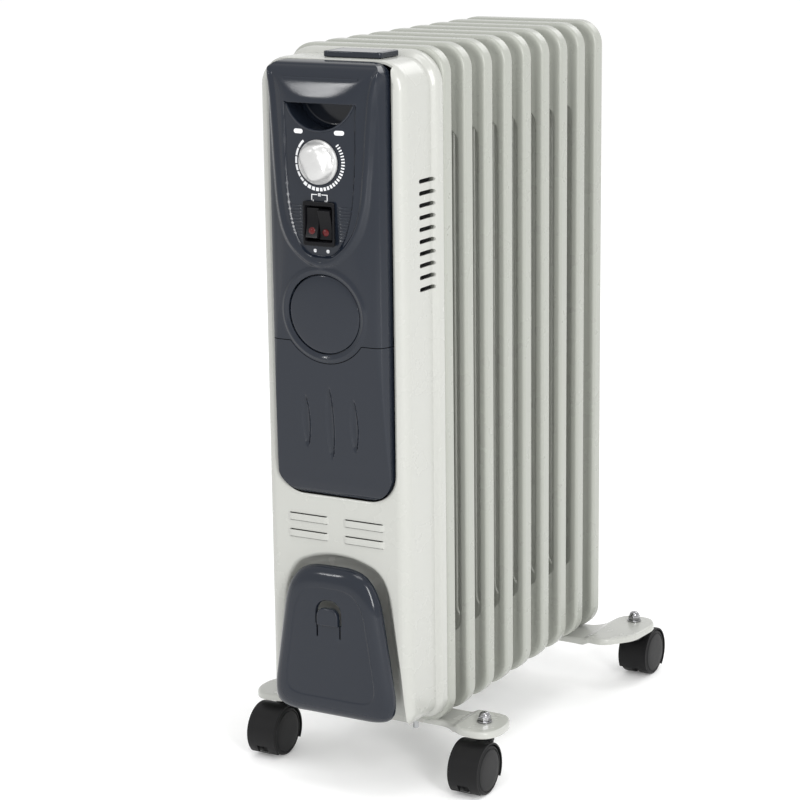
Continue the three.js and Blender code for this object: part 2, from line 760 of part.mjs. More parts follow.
// Cross brackets: pressed steel, rim turned down, with a wider seat for each caster.
function bracketOutline(stemY, gapY, towards, inset) {
  const seat = [
    [70, gapY - armHalfDepth],
    [88, stemY - 25],
    [113, stemY - 28],
    [124, stemY - 14],
    [124, stemY + 8],
    [114, stemY + 26],
    [92, stemY + 27],
    [70, gapY + armHalfDepth],
  ];
  const rearSeat = [
    [70, gapY - armHalfDepth],
    [100, gapY - armHalfDepth - 5],
    [122, gapY + 6],
    [125, stemY],
    [115, stemY + 17],
    [90, stemY + 17],
    [70, gapY + armHalfDepth + 12],
  ];
  const right = towards < 0 ? seat : rearSeat;
  const left = right.map(([x, y]) => [-x, y]).reverse();
  const whole = [...right, ...left];
  return softPolygon(shrunk(whole, inset), 9);
}

// The outline moved inwards by the given distance, corner by corner.
function shrunk(points, inset) {
  return points.map(([x, y], index) => {
    const [beforeX, beforeY] = points[(index + points.length - 1) % points.length];
    const [afterX, afterY] = points[(index + 1) % points.length];
    const first = new THREE.Vector2(x - beforeX, y - beforeY).normalize();
    const second = new THREE.Vector2(afterX - x, afterY - y).normalize();
    const inward = new THREE.Vector2(-first.y - second.y, first.x + second.x);
    const half = inward.lengthSq() / 2;
    return [x + (inward.x * inset) / half, y + (inward.y * inset) / half];
  });
}

function addBracket(name, stemY, gapY, towards) {
  const top = bracketPlateTopZ;
  const whole = alongZ(bracketOutline(stemY, gapY, towards, 0), top - bracketRim - 4, top, 1);
  const hollow = alongZ(bracketOutline(stemY, gapY, towards, bracketSheet), top - 40, top - bracketSheet, 1);
  const underFins = block(-79, 79, -100, 600, bracketArmTopZ, top + 10);
  const armFloor = alongZ(bracketOutline(stemY, gapY, towards, 0.5), bracketArmTopZ - bracketSheet, bracketArmTopZ, 1);
  const armOnly = armFloor.intersect(block(-82, 82, -100, 600, 0, 100));
  const seatTrim = joined([
    block(82, 200, -100, 600, 0, top - bracketRim),
    block(-200, -82, -100, 600, 0, top - bracketRim),
  ]);
  const stemHoles = [-stemX, stemX].map((x) => rodZ(stemRadius + 0.3, 20, 80, x, stemY, 12));
  const boltHoles = [-1, 1].map((side) => rodZ(uBoltRadius + 0.3, 20, 80, side * boltLegX, gapY, 12));
  let bracket = whole.subtract(hollow).subtract(underFins);
  bracket = bracket.add(armOnly).subtract(seatTrim);
  bracket = cut(bracket, [...stemHoles, ...boltHoles]);
  addPart(name, bracket, "housing");
}

function addClamp(prefix, gapY) {
  const bend = new THREE.CatmullRomCurve3(
    [
      [-boltLegX, 36],
      [-boltLegX, 70],
      [-boltLegX, lowHubZ],
      [-boltLegX * 0.7071, lowHubZ + boltLegX * 0.7071],
      [0, lowHubZ + boltLegX],
      [boltLegX * 0.7071, lowHubZ + boltLegX * 0.7071],
      [boltLegX, lowHubZ],
      [boltLegX, 70],
      [boltLegX, 36],
    ].map(([x, z]) => new THREE.Vector3(x, gapY, z)),
    false,
    "centripetal",
  );
  const ring = new THREE.Shape().absarc(0, 0, uBoltRadius, 0, 2 * Math.PI);
  const rod = new THREE.ExtrudeGeometry(ring, { steps: 20, extrudePath: bend, curveSegments: 3 });
  addPart(`${prefix}_u_bolt`, solidFrom(rod), "zinc");
  const nutTop = bracketArmTopZ - bracketSheet - touchGap;
  [-1, 1].forEach((side) => {
    const x = side * boltLegX;
    const hub = rodZ(5, nutTop - 7, nutTop, x, gapY, 10, 6);
    const wings = alongY(
      softPolygon(
        [
          [x - 11, nutTop - 12],
          [x - 4, nutTop - 7],
          [x + 4, nutTop - 7],
          [x + 11, nutTop - 12],
          [x + 12, nutTop - 5],
          [x + 4, nutTop - 1.5],
          [x - 4, nutTop - 1.5],
          [x - 12, nutTop - 5],
        ],
        2.5,
      ),
      gapY - 1,
      gapY + 1,
      1,
    );
    const hole = rodZ(uBoltRadius + 0.3, 20, 80, x, gapY, 12);
    addPart(`${prefix}_wing_nut_${side < 0 ? "left" : "right"}`, hub.add(wings).subtract(hole), "zinc");
  });
}

// A twin-wheel caster: threaded stem and cap nut on the bracket, and a hood that swivels on the stem and
// carries the axle and its two wheels, trailing towards trailSign along Y.
function addCaster(prefix, x, y, trailSign) {
  const axleY = y + trailSign * casterTrail;
  const plateUnder = bracketPlateTopZ - bracketSheet;
  const stemLow = hoodTopZ - 7.5;
  const nutBase = bracketPlateTopZ + touchGap;
  const stem = joined([
    rodZ(stemRadius, stemLow, nutBase + 6, x, y, 12),
    rodZ(5.5, hoodTopZ + touchGap, plateUnder - touchGap, x, y, 12),
  ]);
  addPart(`${prefix}_stem`, stem, "zinc");

  const dome = solidFrom(new THREE.SphereGeometry(5, 10, 6).translate(x, y, nutBase + 4.5));
  const washer = rodZ(6.6, nutBase, nutBase + 1.6, x, y, 12);
  const nutBody = joined([washer, rodZ(5.8, nutBase + 1, nutBase + 5, x, y, 6), dome]);
  const nutRoom = rodZ(stemRadius + touchGap, nutBase - 5, nutBase + 6.4, x, y, 12);
  const belowNut = block(x - 9, x + 9, y - 9, y + 9, nutBase - 9, nutBase);
  addPart(`${prefix}_cap_nut`, cut(nutBody, [nutRoom, belowNut]), "chrome");

  const sweepLow = -Math.PI * 0.25;
  const sweepHigh = Math.PI * 1.17;
  const angles = [];
  const sweepSteps = 13;
  for (let step = 0; step <= sweepSteps; step += 1) {
    angles.push(sweepLow + ((sweepHigh - sweepLow) * step) / sweepSteps);
  }
  const across = (radius, angle) => [
    axleY + trailSign * radius * Math.cos(angle),
    wheelRadius + radius * Math.sin(angle),
  ];
  const outerPoints = angles.map((angle) => across(hoodRadius, angle));
  const innerPoints = angles.map((angle) => across(hoodInnerRadius, angle)).reverse();
  const bandShape = new THREE.Shape([...outerPoints, ...innerPoints].map(([a, b]) => new THREE.Vector2(a, b)));
  const webShape = new THREE.Shape(
    angles.map((angle) => across(hoodRadius - 0.8, angle)).map(([a, b]) => new THREE.Vector2(a, b)),
  );
  const band = alongX(bandShape, x - hoodHalfWidth, x + hoodHalfWidth, 1);
  const web = alongX(webShape, x - 2, x + 2, 1);
  const boss = rodZ(8.5, 34, hoodTopZ, x, y, 12, 7.5).subtract(
    rodX(hoodInnerRadius, x - 30, x + 30, axleY, wheelRadius, 24),
  );
  const notchY = axleY + trailSign * hoodRadius;
  const notch = block(x - 6, x + 6, notchY - 9, notchY + 9, 0, 12);
  const axleRoom = rodX(axleRadius + runningGap, x - 5, x + 5, axleY, wheelRadius, 16);
  const stemRoom = rodZ(stemRadius + runningGap, stemLow - touchGap, 80, x, y, 12);
  addPart(`${prefix}_hood`, cut(joined([band, web, boss]), [notch, axleRoom, stemRoom]), "caster");

  const axleReach = wheelInnerX + wheelWidth - 2.5;
  addPart(`${prefix}_axle`, rodX(axleRadius, x - axleReach, x + axleReach, axleY, wheelRadius, 16), "zinc");
  [-1, 1].forEach((side) => {
    const profile = [
      [axleRadius + runningGap, 0],
      [wheelRadius, 0],
      [wheelRadius, wheelWidth - 2.2],
      [wheelRadius - 2.2, wheelWidth],
      [0, wheelWidth],
      [0, axleReach - wheelInnerX + touchGap],
      [axleRadius + runningGap, axleReach - wheelInnerX + touchGap],
      [axleRadius + runningGap, 0],
    ].map(([radius, offset]) => new THREE.Vector2(radius, offset));
    const wheel = new THREE.LatheGeometry(profile, 22);
    wheel.rotateZ(-side * quarterTurn);
    wheel.translate(x + side * wheelInnerX, axleY, wheelRadius);
    addPart(`${prefix}_wheel_${side < 0 ? "left" : "right"}`, solidFrom(wheel), "caster");
  });
}

function addRunningGear() {
  const frontGapY = firstFinFrontY + finDepth + (finPitch - finDepth) / 2;
  const rearGapY = frontGapY + (finCount - 2) * finPitch;
  addBracket("front_bracket", frontStemY, frontGapY, -1);
  addBracket("rear_bracket", rearStemY, rearGapY, 1);
  addClamp("front", frontGapY);
  addClamp("rear", rearGapY);
  addCaster("caster_front_left", -stemX, frontStemY, -1);
  addCaster("caster_front_right", stemX, frontStemY, -1);
  addCaster("caster_rear_left", -stemX, rearStemY, 1);
  addCaster("caster_rear_right", stemX, rearStemY, 1);
}

// Places every piece so that the origin is on the floor below the middle of the whole.
function assemble() {
  const group = new THREE.Group();
  const box = new THREE.Box3();
  parts.forEach(({ name, solid, finish }) => {
    const material = new THREE.MeshStandardMaterial(finishes[finish]);
    const mesh = new THREE.Mesh(geometryFrom(solid), material);
    mesh.name = name;
    group.add(mesh);
    box.expandByObject(mesh);
  });
  const centre = box.getCenter(new THREE.Vector3());
  group.position.set(-centre.x, -centre.y, -box.min.z);
  return group;
}

addFins();
addElementAndPlug();
addHousing();
addPanel();
addTopPad();
addControls();
addSafetyDevices();
addHookPlate();
addRunningGear();

const heater = assemble();

export default heater;
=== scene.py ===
# Oil filled radiator heater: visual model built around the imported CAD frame.
# Meshes are made in millimetres, with Y counted from the housing's front face, and placed once.
import math

import bmesh
import bpy
import numpy as np
from mathutils import Matrix, Vector


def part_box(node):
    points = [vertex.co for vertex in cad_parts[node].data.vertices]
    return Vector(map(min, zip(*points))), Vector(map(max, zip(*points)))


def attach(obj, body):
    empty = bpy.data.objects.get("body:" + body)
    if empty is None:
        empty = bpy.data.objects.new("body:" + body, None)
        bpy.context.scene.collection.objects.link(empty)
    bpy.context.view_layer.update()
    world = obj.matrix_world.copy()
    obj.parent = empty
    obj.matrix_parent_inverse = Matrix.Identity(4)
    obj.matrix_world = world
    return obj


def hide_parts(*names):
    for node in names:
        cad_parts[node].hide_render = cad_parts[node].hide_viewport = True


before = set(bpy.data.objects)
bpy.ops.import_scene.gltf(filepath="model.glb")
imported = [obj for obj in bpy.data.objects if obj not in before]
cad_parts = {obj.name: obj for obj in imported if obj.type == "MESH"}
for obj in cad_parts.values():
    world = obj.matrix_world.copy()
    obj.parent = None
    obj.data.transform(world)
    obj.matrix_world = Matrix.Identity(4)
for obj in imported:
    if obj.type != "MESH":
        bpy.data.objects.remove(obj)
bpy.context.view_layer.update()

# ---- Floor, light and camera -------------------------------------------------------------------
# A plain pale floor and a white room, with four soft lights: a narrow one high on the left that
# draws the highlight on the grip, a tall strip on the right for the fins, and weak ones from
# above and behind.
scene = bpy.context.scene
scene.view_settings.view_transform = "Standard"
MM = 0.001
HUB_REACH = 51.0
front_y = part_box("fin_1")[0].y - HUB_REACH * MM


def new_material(name):
    material = bpy.data.materials.new(name)
    material.use_nodes = True
    return material, material.node_tree.nodes["Principled BSDF"]


world = bpy.data.worlds.new("white_room")
world.use_nodes = True
world.node_tree.nodes["Background"].inputs["Color"].default_value = (1.0, 1.0, 1.0, 1.0)
world.node_tree.nodes["Background"].inputs["Strength"].default_value = 0.95
scene.world = world

floor_mesh = bpy.data.meshes.new("floor")
floor_mesh.from_pydata([(-9, -9, 0), (9, -9, 0), (9, 30, 0), (-9, 30, 0)], [], [(0, 1, 2, 3)])
floor = bpy.data.objects.new("floor", floor_mesh)
scene.collection.objects.link(floor)
floor_material, floor_shader = new_material("pale_floor")
floor_shader.inputs["Base Color"].default_value = (0.96, 0.96, 0.96, 1)
floor_shader.inputs["Emission Color"].default_value = (1, 1, 1, 1)
floor_shader.inputs["Emission Strength"].default_value = 0.1
floor_shader.inputs["Roughness"].default_value = 0.9
floor_shader.inputs["Specular IOR Level"].default_value = 0.1
floor_mesh.materials.append(floor_material)


def soft_light(name, place, aim, size, power):
    light = bpy.data.lights.new(name, "AREA")
    light.shape = "RECTANGLE"
    light.size, light.size_y = size
    light.energy = power
    lamp = bpy.data.objects.new(name, light)
    lamp.location = place
    lamp.rotation_euler = (Vector(aim) - Vector(place)).to_track_quat("-Z", "Y").to_euler()
    scene.collection.objects.link(lamp)


soft_light("left_softbox", (-1.43, -2.35, 1.72), (0, -0.2, 0.61), (0.11, 0.5), 4.6)
soft_light("right_softbox", (2.15, -1.7, 1.3), (0, 0.1, 0.3), (0.5, 1.8), 42)
soft_light("top_softbox", (0.3, -0.7, 2.5), (0, -0.2, 0.5), (1.1, 0.7), 10)
soft_light("back_softbox", (0.4, 2.6, 2.4), (0, 0.1, 0.3), (1.6, 1.6), 16)

camera = bpy.data.objects.new("camera", bpy.data.cameras.new("camera"))
camera.data.sensor_width = 36.0
camera.data.lens = 111.73
camera.data.clip_end = 100
turn, tilt, roll = (math.radians(angle) for angle in (29.597, 90 - 13.076, -0.709))
camera.matrix_world = (
    Matrix.Translation((1.05544, front_y - 1.74579, 0.82479))
    @ Matrix.Rotation(turn, 4, "Z")
    @ Matrix.Rotation(tilt, 4, "X")
    @ Matrix.Rotation(roll, 4, "Z")
)
scene.collection.objects.link(camera)
scene.camera = camera

# ---- Fins --------------------------------------------------------------------------------------
# Nine pressed steel panels in baked grey-white enamel. Each is a shallow tray with a soft ridge
# round its front, a flange turned back, a raised oil column and two long slots, which are only
# shallow recesses in the last fin; the hubs are welded one to the next.


def loft(rings, capped=True):
    """Closed skin over rings of points, each ring with the same number of points."""
    bm = bmesh.new()
    made = [[bm.verts.new(point) for point in ring] for ring in rings]
    count = len(made[0])
    for low, high in zip(made, made[1:]):
        for i in range(count):
            j = (i + 1) % count
            bm.faces.new((low[i], low[j], high[j], high[i]))
    if capped:
        bm.faces.new(list(reversed(made[0])))
        bm.faces.new(made[-1])
    bmesh.ops.recalc_face_normals(bm, faces=bm.faces)
    return bm


def arc(x, z, radius, start, end, steps):
    angles = np.radians(np.linspace(start, end, steps + 1))
    return [(x + radius * math.cos(a), z + radius * math.sin(a)) for a in angles]


def rounded(half, low, high, low_radius, high_radius, steps=8):
    """Upright rectangle with round corners, centred on x = 0."""
    return (
        arc(-half + low_radius, low + low_radius, low_radius, 180, 270, steps)
        + arc(half - low_radius, low + low_radius, low_radius, 270, 360, steps)
        + arc(half - high_radius, high - high_radius, high_radius, 0, 90, steps)
        + arc(-half + high_radius, high - high_radius, high_radius, 90, 180, steps)
    )


def inset(points, distance):
    """Outline, drawn anticlockwise, moved inwards; a negative distance moves it outwards."""
    ring = np.array(points, float)
    before = ring - np.roll(ring, 1, 0)
    after = np.roll(ring, -1, 0) - ring
    before /= np.maximum(np.linalg.norm(before, axis=1), 1e-9)[:, None]
    after /= np.maximum(np.linalg.norm(after, axis=1), 1e-9)[:, None]
    inward = np.stack([-(before + after)[:, 1], (before + after)[:, 0]], 1)
    share = np.maximum((inward**2).sum(1) / 2, 0.2)
    return [tuple(p) for p in ring + inward * (distance / share)[:, None]]


def swept(outline, steps, plane="y"):
    """Loft of one outline through (inset, depth) steps, along Y, X or Z."""
    place = {
        "y": lambda a, b, d: (a, d, b),
        "x": lambda a, b, d: (d, a, b),
        "z": lambda a, b, d: (a, b, d),
    }[plane]
    return loft([[place(a, b, depth) for a, b in inset(outline, move)] for move, depth in steps])


def edge_steps(start, end, radius, count=4, inwards=0.0):
    """(inset, depth) steps of a slab from start to end with round edges."""
    sign = 1 if end > start else -1
    turn = [math.radians(90 * i / count) for i in range(count + 1)]
    first = [(inwards + radius * (1 - math.sin(a)), start + sign * radius * (1 - math.cos(a))) for a in turn]
    last = [(inwards + radius * (1 - math.cos(a)), end - sign * radius * (1 - math.sin(a))) for a in turn]
    return first + last


def joined(parts):
    whole = parts[0]
    for part in parts[1:]:
        spare = bpy.data.meshes.new("spare")
        part.to_mesh(spare)
        part.free()
        whole.from_mesh(spare)
        bpy.data.meshes.remove(spare)
    return whole


def work_object(bm):
    mesh = bpy.data.meshes.new("work")
    bm.to_mesh(mesh)
    bm.free()
    made = bpy.data.objects.new("work", mesh)
    scene.collection.objects.link(made)
    return made


def combined(base, tools, operation="DIFFERENCE"):
    """Result of cutting, joining or crossing the base with each tool in turn."""
    target = work_object(base)
    others = [work_object(tool) for tool in tools]
    for other in others:
        modifier = target.modifiers.new("cut", "BOOLEAN")
        modifier.operation = operation
        modifier.object = other
        modifier.solver = "EXACT"
    bpy.context.view_layer.update()
    made = target.evaluated_get(bpy.context.evaluated_depsgraph_get())
    result = bmesh.new()
    result.from_mesh(made.to_mesh())
    made.to_mesh_clear()
    for spent in [target, *others]:
        mesh = spent.data
        bpy.data.objects.remove(spent)
        bpy.data.meshes.remove(mesh)
    return result


def finished(bm, name, body, material, nodes=(), sharp=38):
    """Places the mesh in the row frame, in metres, and hangs it on its CAD body."""
    bmesh.ops.remove_doubles(bm, verts=bm.verts, dist=0.002)
    bmesh.ops.recalc_face_normals(bm, faces=bm.faces)
    bm.transform(Matrix.Translation((0, front_y, 0)) @ Matrix.Scale(MM, 4))
    mesh = bpy.data.meshes.new(name)
    bm.to_mesh(mesh)
    bm.free()
    mesh.shade_smooth()
    mesh.set_sharp_from_angle(angle=math.radians(sharp))
    made = bpy.data.objects.new(name, mesh)
    scene.collection.objects.link(made)
    even = made.modifiers.new("even_shading", "WEIGHTED_NORMAL")
    even.keep_sharp = True
    mesh.materials.append(material)
    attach(made, body)
    if nodes:
        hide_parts(*nodes)
    return made


def surface_group():
    """Node group: slow colour drift, fine surface grain, uneven gloss and paler worn edges."""
    group = bpy.data.node_groups.new("worn_surface", "ShaderNodeTree")
    for name, kind, value in (
        ("Tint", "NodeSocketColor", (0.5, 0.5, 0.5, 1)),
        ("Shade", "NodeSocketColor", (0.4, 0.4, 0.4, 1)),
        ("Edge", "NodeSocketColor", (0.6, 0.6, 0.6, 1)),
        ("Grain Scale", "NodeSocketFloat", 600.0),
        ("Grain Depth", "NodeSocketFloat", 0.3),
        ("Gloss", "NodeSocketFloat", 0.25),
        ("Gloss Drift", "NodeSocketFloat", 0.1),
    ):
        socket = group.interface.new_socket(name, in_out="INPUT", socket_type=kind)
        socket.default_value = value
    for name, kind in (
        ("Color", "NodeSocketColor"),
        ("Roughness", "NodeSocketFloat"),
        ("Normal", "NodeSocketVector"),
    ):
        group.interface.new_socket(name, in_out="OUTPUT", socket_type=kind)
    add, link = group.nodes.new, group.links.new
    entry, leave = add("NodeGroupInput"), add("NodeGroupOutput")
    place = add("ShaderNodeTexCoord")
    drift = add("ShaderNodeTexNoise")
    drift.inputs["Scale"].default_value = 7.0
    drift.inputs["Detail"].default_value = 4.0
    smear = add("ShaderNodeTexNoise")
    smear.inputs["Scale"].default_value = 38.0
    smear.inputs["Detail"].default_value = 6.0
    grain = add("ShaderNodeTexNoise")
    grain.inputs["Detail"].default_value = 2.0
    for texture in (drift, smear, grain):
        link(place.outputs["Object"], texture.inputs["Vector"])
    link(entry.outputs["Grain Scale"], grain.inputs["Scale"])
    mix = add("ShaderNodeMix")
    mix.data_type = "RGBA"
    link(drift.outputs["Fac"], mix.inputs["Factor"])
    link(entry.outputs["Tint"], mix.inputs["A"])
    link(entry.outputs["Shade"], mix.inputs["B"])
    geometry = add("ShaderNodeNewGeometry")
    wear = add("ShaderNodeMapRange")
    wear.inputs["From Min"].default_value = 0.52
    wear.inputs["From Max"].default_value = 0.62
    wear.inputs["To Max"].default_value = 0.15
    link(geometry.outputs["Pointiness"], wear.inputs["Value"])
    edge = add("ShaderNodeMix")
    edge.data_type = "RGBA"
    link(wear.outputs["Result"], edge.inputs["Factor"])
    link(mix.outputs["Result"], edge.inputs["A"])
    link(entry.outputs["Edge"], edge.inputs["B"])
    link(edge.outputs["Result"], leave.inputs["Color"])
    rough = add("ShaderNodeMath")
    rough.operation = "MULTIPLY_ADD"
    link(smear.outputs["Fac"], rough.inputs[0])
    link(entry.outputs["Gloss Drift"], rough.inputs[1])
    link(entry.outputs["Gloss"], rough.inputs[2])
    link(rough.outputs["Value"], leave.inputs["Roughness"])
    bump = add("ShaderNodeBump")
    bump.inputs["Distance"].default_value = 0.0002
    link(entry.outputs["Grain Depth"], bump.inputs["Strength"])
    link(grain.outputs["Fac"], bump.inputs["Height"])
    link(bump.outputs["Normal"], leave.inputs["Normal"])
    return group


worn_surface = surface_group()


def surface(name, tint, shade, edge, grain, gloss, metallic=0.0, coat=0.0, specular=0.5):
    """Material on the worn-surface group. grain is (scale, depth) and gloss (least, drift)."""
    material, shader = new_material(name)
    node = material.node_tree.nodes.new("ShaderNodeGroup")
    node.node_tree = worn_surface
    for socket, value in (("Tint", tint), ("Shade", shade), ("Edge", edge)):
        node.inputs[socket].default_value = (*value, 1)
    node.inputs["Grain Scale"].default_value, node.inputs["Grain Depth"].default_value = grain
    node.inputs["Gloss"].default_value, node.inputs["Gloss Drift"].default_value = gloss
    for output, socket in (("Color", "Base Color"), ("Roughness", "Roughness"), ("Normal", "Normal")):
        material.node_tree.links.new(node.outputs[output], shader.inputs[socket])
    shader.inputs["Metallic"].default_value = metallic
    shader.inputs["Specular IOR Level"].default_value = specular
    shader.inputs["Coat Weight"].default_value = coat
    shader.inputs["Coat Roughness"].default_value = 0.08
    return material


fin_paint = surface(
    "fin_enamel", (0.34, 0.35, 0.315), (0.33, 0.34, 0.305), (0.36, 0.37, 0.33), (420, 0.1), (0.24, 0.08)
)
FIN_HALF, FIN_LOW, FIN_HIGH, FIN_DEPTH, FIN_PITCH = 75.0, 55.0, 645.0, 14.0, 37.0
FIN_CORNER, FIN_RIDGE = 22.5, 3.2
SLOT_MIDDLE, SLOT_HALF, SLOT_LOW, SLOT_HIGH = 55.0, 11.0, 127.0, 573.0
HUB_LOW, HUB_HIGH, HUB_RADIUS, HUB_BORE = 105.0, 595.0, 24.0, 15.0


def round_slot(middle, half, low, high, steps=12):
    return arc(middle, low + half, half, 180, 360, steps) + arc(middle, high - half, half, 0, 180, steps)


def tube(steps, x, z, sides=40):
    """Turned piece along Y from (radius, y) steps, which start and end on the axis or meet."""
    around = np.radians(np.linspace(0, 360, sides, endpoint=False))
    rings = [[(x + r * math.cos(a), y, z + r * math.sin(a)) for a in around] for r, y in steps]
    return rings


def fin_mesh(front, last):
    outline = rounded(FIN_HALF, FIN_LOW, FIN_HIGH, FIN_CORNER, FIN_CORNER, 10)
    ridge = [math.radians(90 * i / 6) for i in range(7)]
    outside = [(FIN_RIDGE * (1 - math.sin(a)), front + FIN_RIDGE * (1 - math.cos(a))) for a in ridge]
    dish = [(11.0, front + 0.9), (8.5, front + 0.75), (6.2, front + 0.2), (4.6, front)]
    back = front + FIN_DEPTH
    rim = [(0.0, back - 1.2), (0.5, back - 0.3), (1.2, back), (2.3, back), (2.8, back - 0.8)]
    inside = [(2.8, front + 3.4), (3.6, front + 2.4), (5.0, front + 2.1), (11.0, front + 2.3)]
    tray = swept(outline, dish + outside + rim + inside)
    floor = front + (0.7 if last else 6)
    slots = [
        swept(round_slot(side * SLOT_MIDDLE, SLOT_HALF, SLOT_LOW, SLOT_HIGH),
              [(-2.2, front - 2), (-2.2, min(floor, front + 0.6)), (-0.9, min(floor, front + 0.95)),
               (0, min(floor, front + 1.7)), (0, floor + 0.01)])
        for side in (-1, 1)
    ]
    tray = combined(tray, slots)
    column = swept(
        rounded(34, 75, 625, 28, 28, 8),
        [(7, front - 4), (4.6, front - 3.8), (2.6, front - 3.1), (0.8, front - 1.6), (0, front + 0.4),
         (0, front + 9), (2, front + 10)],
    )
    hub_back = front + FIN_DEPTH if last else front - 9 + FIN_PITCH - 0.3
    hubs = []
    for z in (HUB_LOW, HUB_HIGH):
        steps = [(HUB_BORE, hub_back), (HUB_BORE, front - 9), (HUB_RADIUS - 1, front - 9),
                 (HUB_RADIUS, front - 8), (HUB_RADIUS, front - 5.2), (HUB_RADIUS + 2.4, front - 3.5),
                 (HUB_RADIUS, front - 2), (HUB_RADIUS, hub_back - 1), (HUB_RADIUS - 1, hub_back),
                 (HUB_BORE, hub_back)]
        hubs.append(loft(tube(steps, 0, z), capped=False))
    if last:
        for z in (HUB_LOW, HUB_HIGH):
            cap = [(0.0, hub_back + 1.8), (14, hub_back + 1.6), (20, hub_back + 0.4),
                   (HUB_RADIUS, hub_back - 2),
                   (0.0, hub_back - 2)]
            hubs.append(loft(tube(cap, 0, z)))
    return joined([tray, column, *hubs])


fin_count = sum(1 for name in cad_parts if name.startswith("fin_"))
for index in range(fin_count):
    fin_front = 60 + index * FIN_PITCH
    finished(fin_mesh(fin_front, index == fin_count - 1), f"fin_panel_{index + 1}", "frame",
             fin_paint, [f"fin_{index + 1}"])

# ---- Control housing ---------------------------------------------------------------------------
# Drawn steel cover in off-white gloss enamel: round front edges, a rolled bead at the rear, ten
# cooling slots each side, pressed strips, a dished opening for the panel and the cord recess.
housing_paint = surface(
    "housing_enamel", (0.43, 0.435, 0.407), (0.422, 0.427, 0.399), (0.435, 0.44, 0.412), (300, 0.05),
    (0.24, 0.06),
    coat=0.2,
)
HOUSING_HALF, HOUSING_LOW, HOUSING_HIGH, HOUSING_BACK, HOUSING_WALL = 69.5, 67.0, 638.0, 59.4, 1.6
PANEL_HALF, PANEL_LOW, PANEL_HIGH, PANEL_BACK = 56.5, 268.0, 636.5, 6.0


def soft_polygon(points, radius, steps=8):
    """Polygon, drawn anticlockwise, with each corner bent round over the given reach."""
    made = []
    for i, corner in enumerate(points):
        here, before, after = (Vector(points[k]) for k in (i, i - 1, (i + 1) % len(points)))
        start = here.lerp(before, min(radius / (here - before).length, 0.45))
        end = here.lerp(after, min(radius / (here - after).length, 0.45))
        for step in range(steps + 1):
            t = step / steps
            made.append(tuple(start * (1 - t) ** 2 + here * 2 * t * (1 - t) + end * t * t))
    return made


def box_mesh(low, high):
    bm = bmesh.new()
    bmesh.ops.create_cube(bm, size=1)
    size = [h - l for l, h in zip(low, high)]
    middle = [(h + l) / 2 for l, h in zip(low, high)]
    bm.transform(Matrix.Translation(middle) @ Matrix.Diagonal((*size, 1)))
    return bm


def housing_steps(shift):
    """(inset, y) steps over the cover, from its front face to its rear edge."""
    radius = 11 - shift
    turn = [math.radians(90 * i / 8) for i in range(9)]
    front = [(shift + radius * (1 - math.sin(a)), shift + radius * (1 - math.cos(a))) for a in turn]
    bead = [(0, 46), (-0.7, 47.2), (-2.4, 48.6), (-4.2, 50), (-5, 52), (-5, 57.6), (-4.7, HOUSING_BACK)]
    return front + [(move + shift, y) for move, y in bead]


def recess_outline():
    return soft_polygon([(-68.5, 47), (68.5, 47), (47, 202), (15, 214), (-15, 214), (-47, 202)], 26)


def smooth_step(low, high, values):
    t = np.clip((values - low) / (high - low), 0, 1)
    return t * t * (3 - 2 * t)


STRIPS = [(x, z) for x in (-28, 27) for z in (245, 230.3)]


def pressed_strip(middle, z):
    """Band of the sheet pressed outwards, still joined at its two ends."""
    rings = []
    for t in np.linspace(-1, 1, 25):
        lift = 1.5 * float(smooth_step(0, 0.16, 1 - abs(t)))
        x = middle + 20.5 * t
        section = [(0.9, -2.5), (0.15, -2.9), (-0.1, -2.7), (-0.25, 0), (-0.1, 2.7), (0.15, 2.9),
                   (0.9, 2.5)]
        rings.append([(x, y + 0.25 - lift, z + h) for y, h in section])
    return loft(rings)


def housing_mesh():
    outline = rounded(HOUSING_HALF, HOUSING_LOW, HOUSING_HIGH, 14, 24, 10)
    outer, inner = housing_steps(0), housing_steps(HOUSING_WALL)
    shell = swept(outline, outer + list(reversed(inner)))
    filled = swept(outline, outer)
    arch = recess_outline()
    tray = swept(arch, [(-5.5, 0.6), (-3, 3), (-1.6, 6), (0.5, 15), (5, 21.6)])
    tray = combined(tray, [filled], "INTERSECT")
    shell = combined(shell, [tray], "UNION")
    opening = rounded(PANEL_HALF + 0.9, PANEL_LOW - 0.9, PANEL_HIGH + 60, 25, 16, 10)
    dish = swept(opening, [(-4.2, -1), (-4.2, 0), (-2.4, 0.35), (-0.9, 1.1), (0, 2.6),
                           (0, PANEL_BACK + 0.3)])
    recess = swept(arch, [(-4, -3), (-4, 0), (-2.6, 0.35), (-1.2, 1.2), (-0.3, 2.8), (0.6, 6), (2.5, 12),
                          (6, 17), (11, 19.6), (14, 20)])
    cuts = [dish, recess]
    for row in range(10):
        z = 537.5 - 10.07 * row
        slot = arc(47.2, z, 1.8, -90, 90, 6) + arc(27.8, z, 1.8, 90, 270, 6)
        cuts += [swept(slot, [(0, side * 60), (0, side * 80)], "x") for side in (-1, 1)]
    cuts += [box_mesh((x - 18.5, -2, z - 3.6), (x + 18.5, 2, z + 3.6)) for x, z in STRIPS]
    around = np.radians(range(0, 360, 15))
    gland_room = loft([[(7 * math.cos(a), 34 + 7 * math.sin(a), z) for a in around] for z in (60, 75)])
    shell = combined(shell, [*cuts, gland_room])
    return joined([shell, *[pressed_strip(x, z) for x, z in STRIPS]])


finished(housing_mesh(), "housing_cover", "frame", housing_paint, ["housing_shell"])

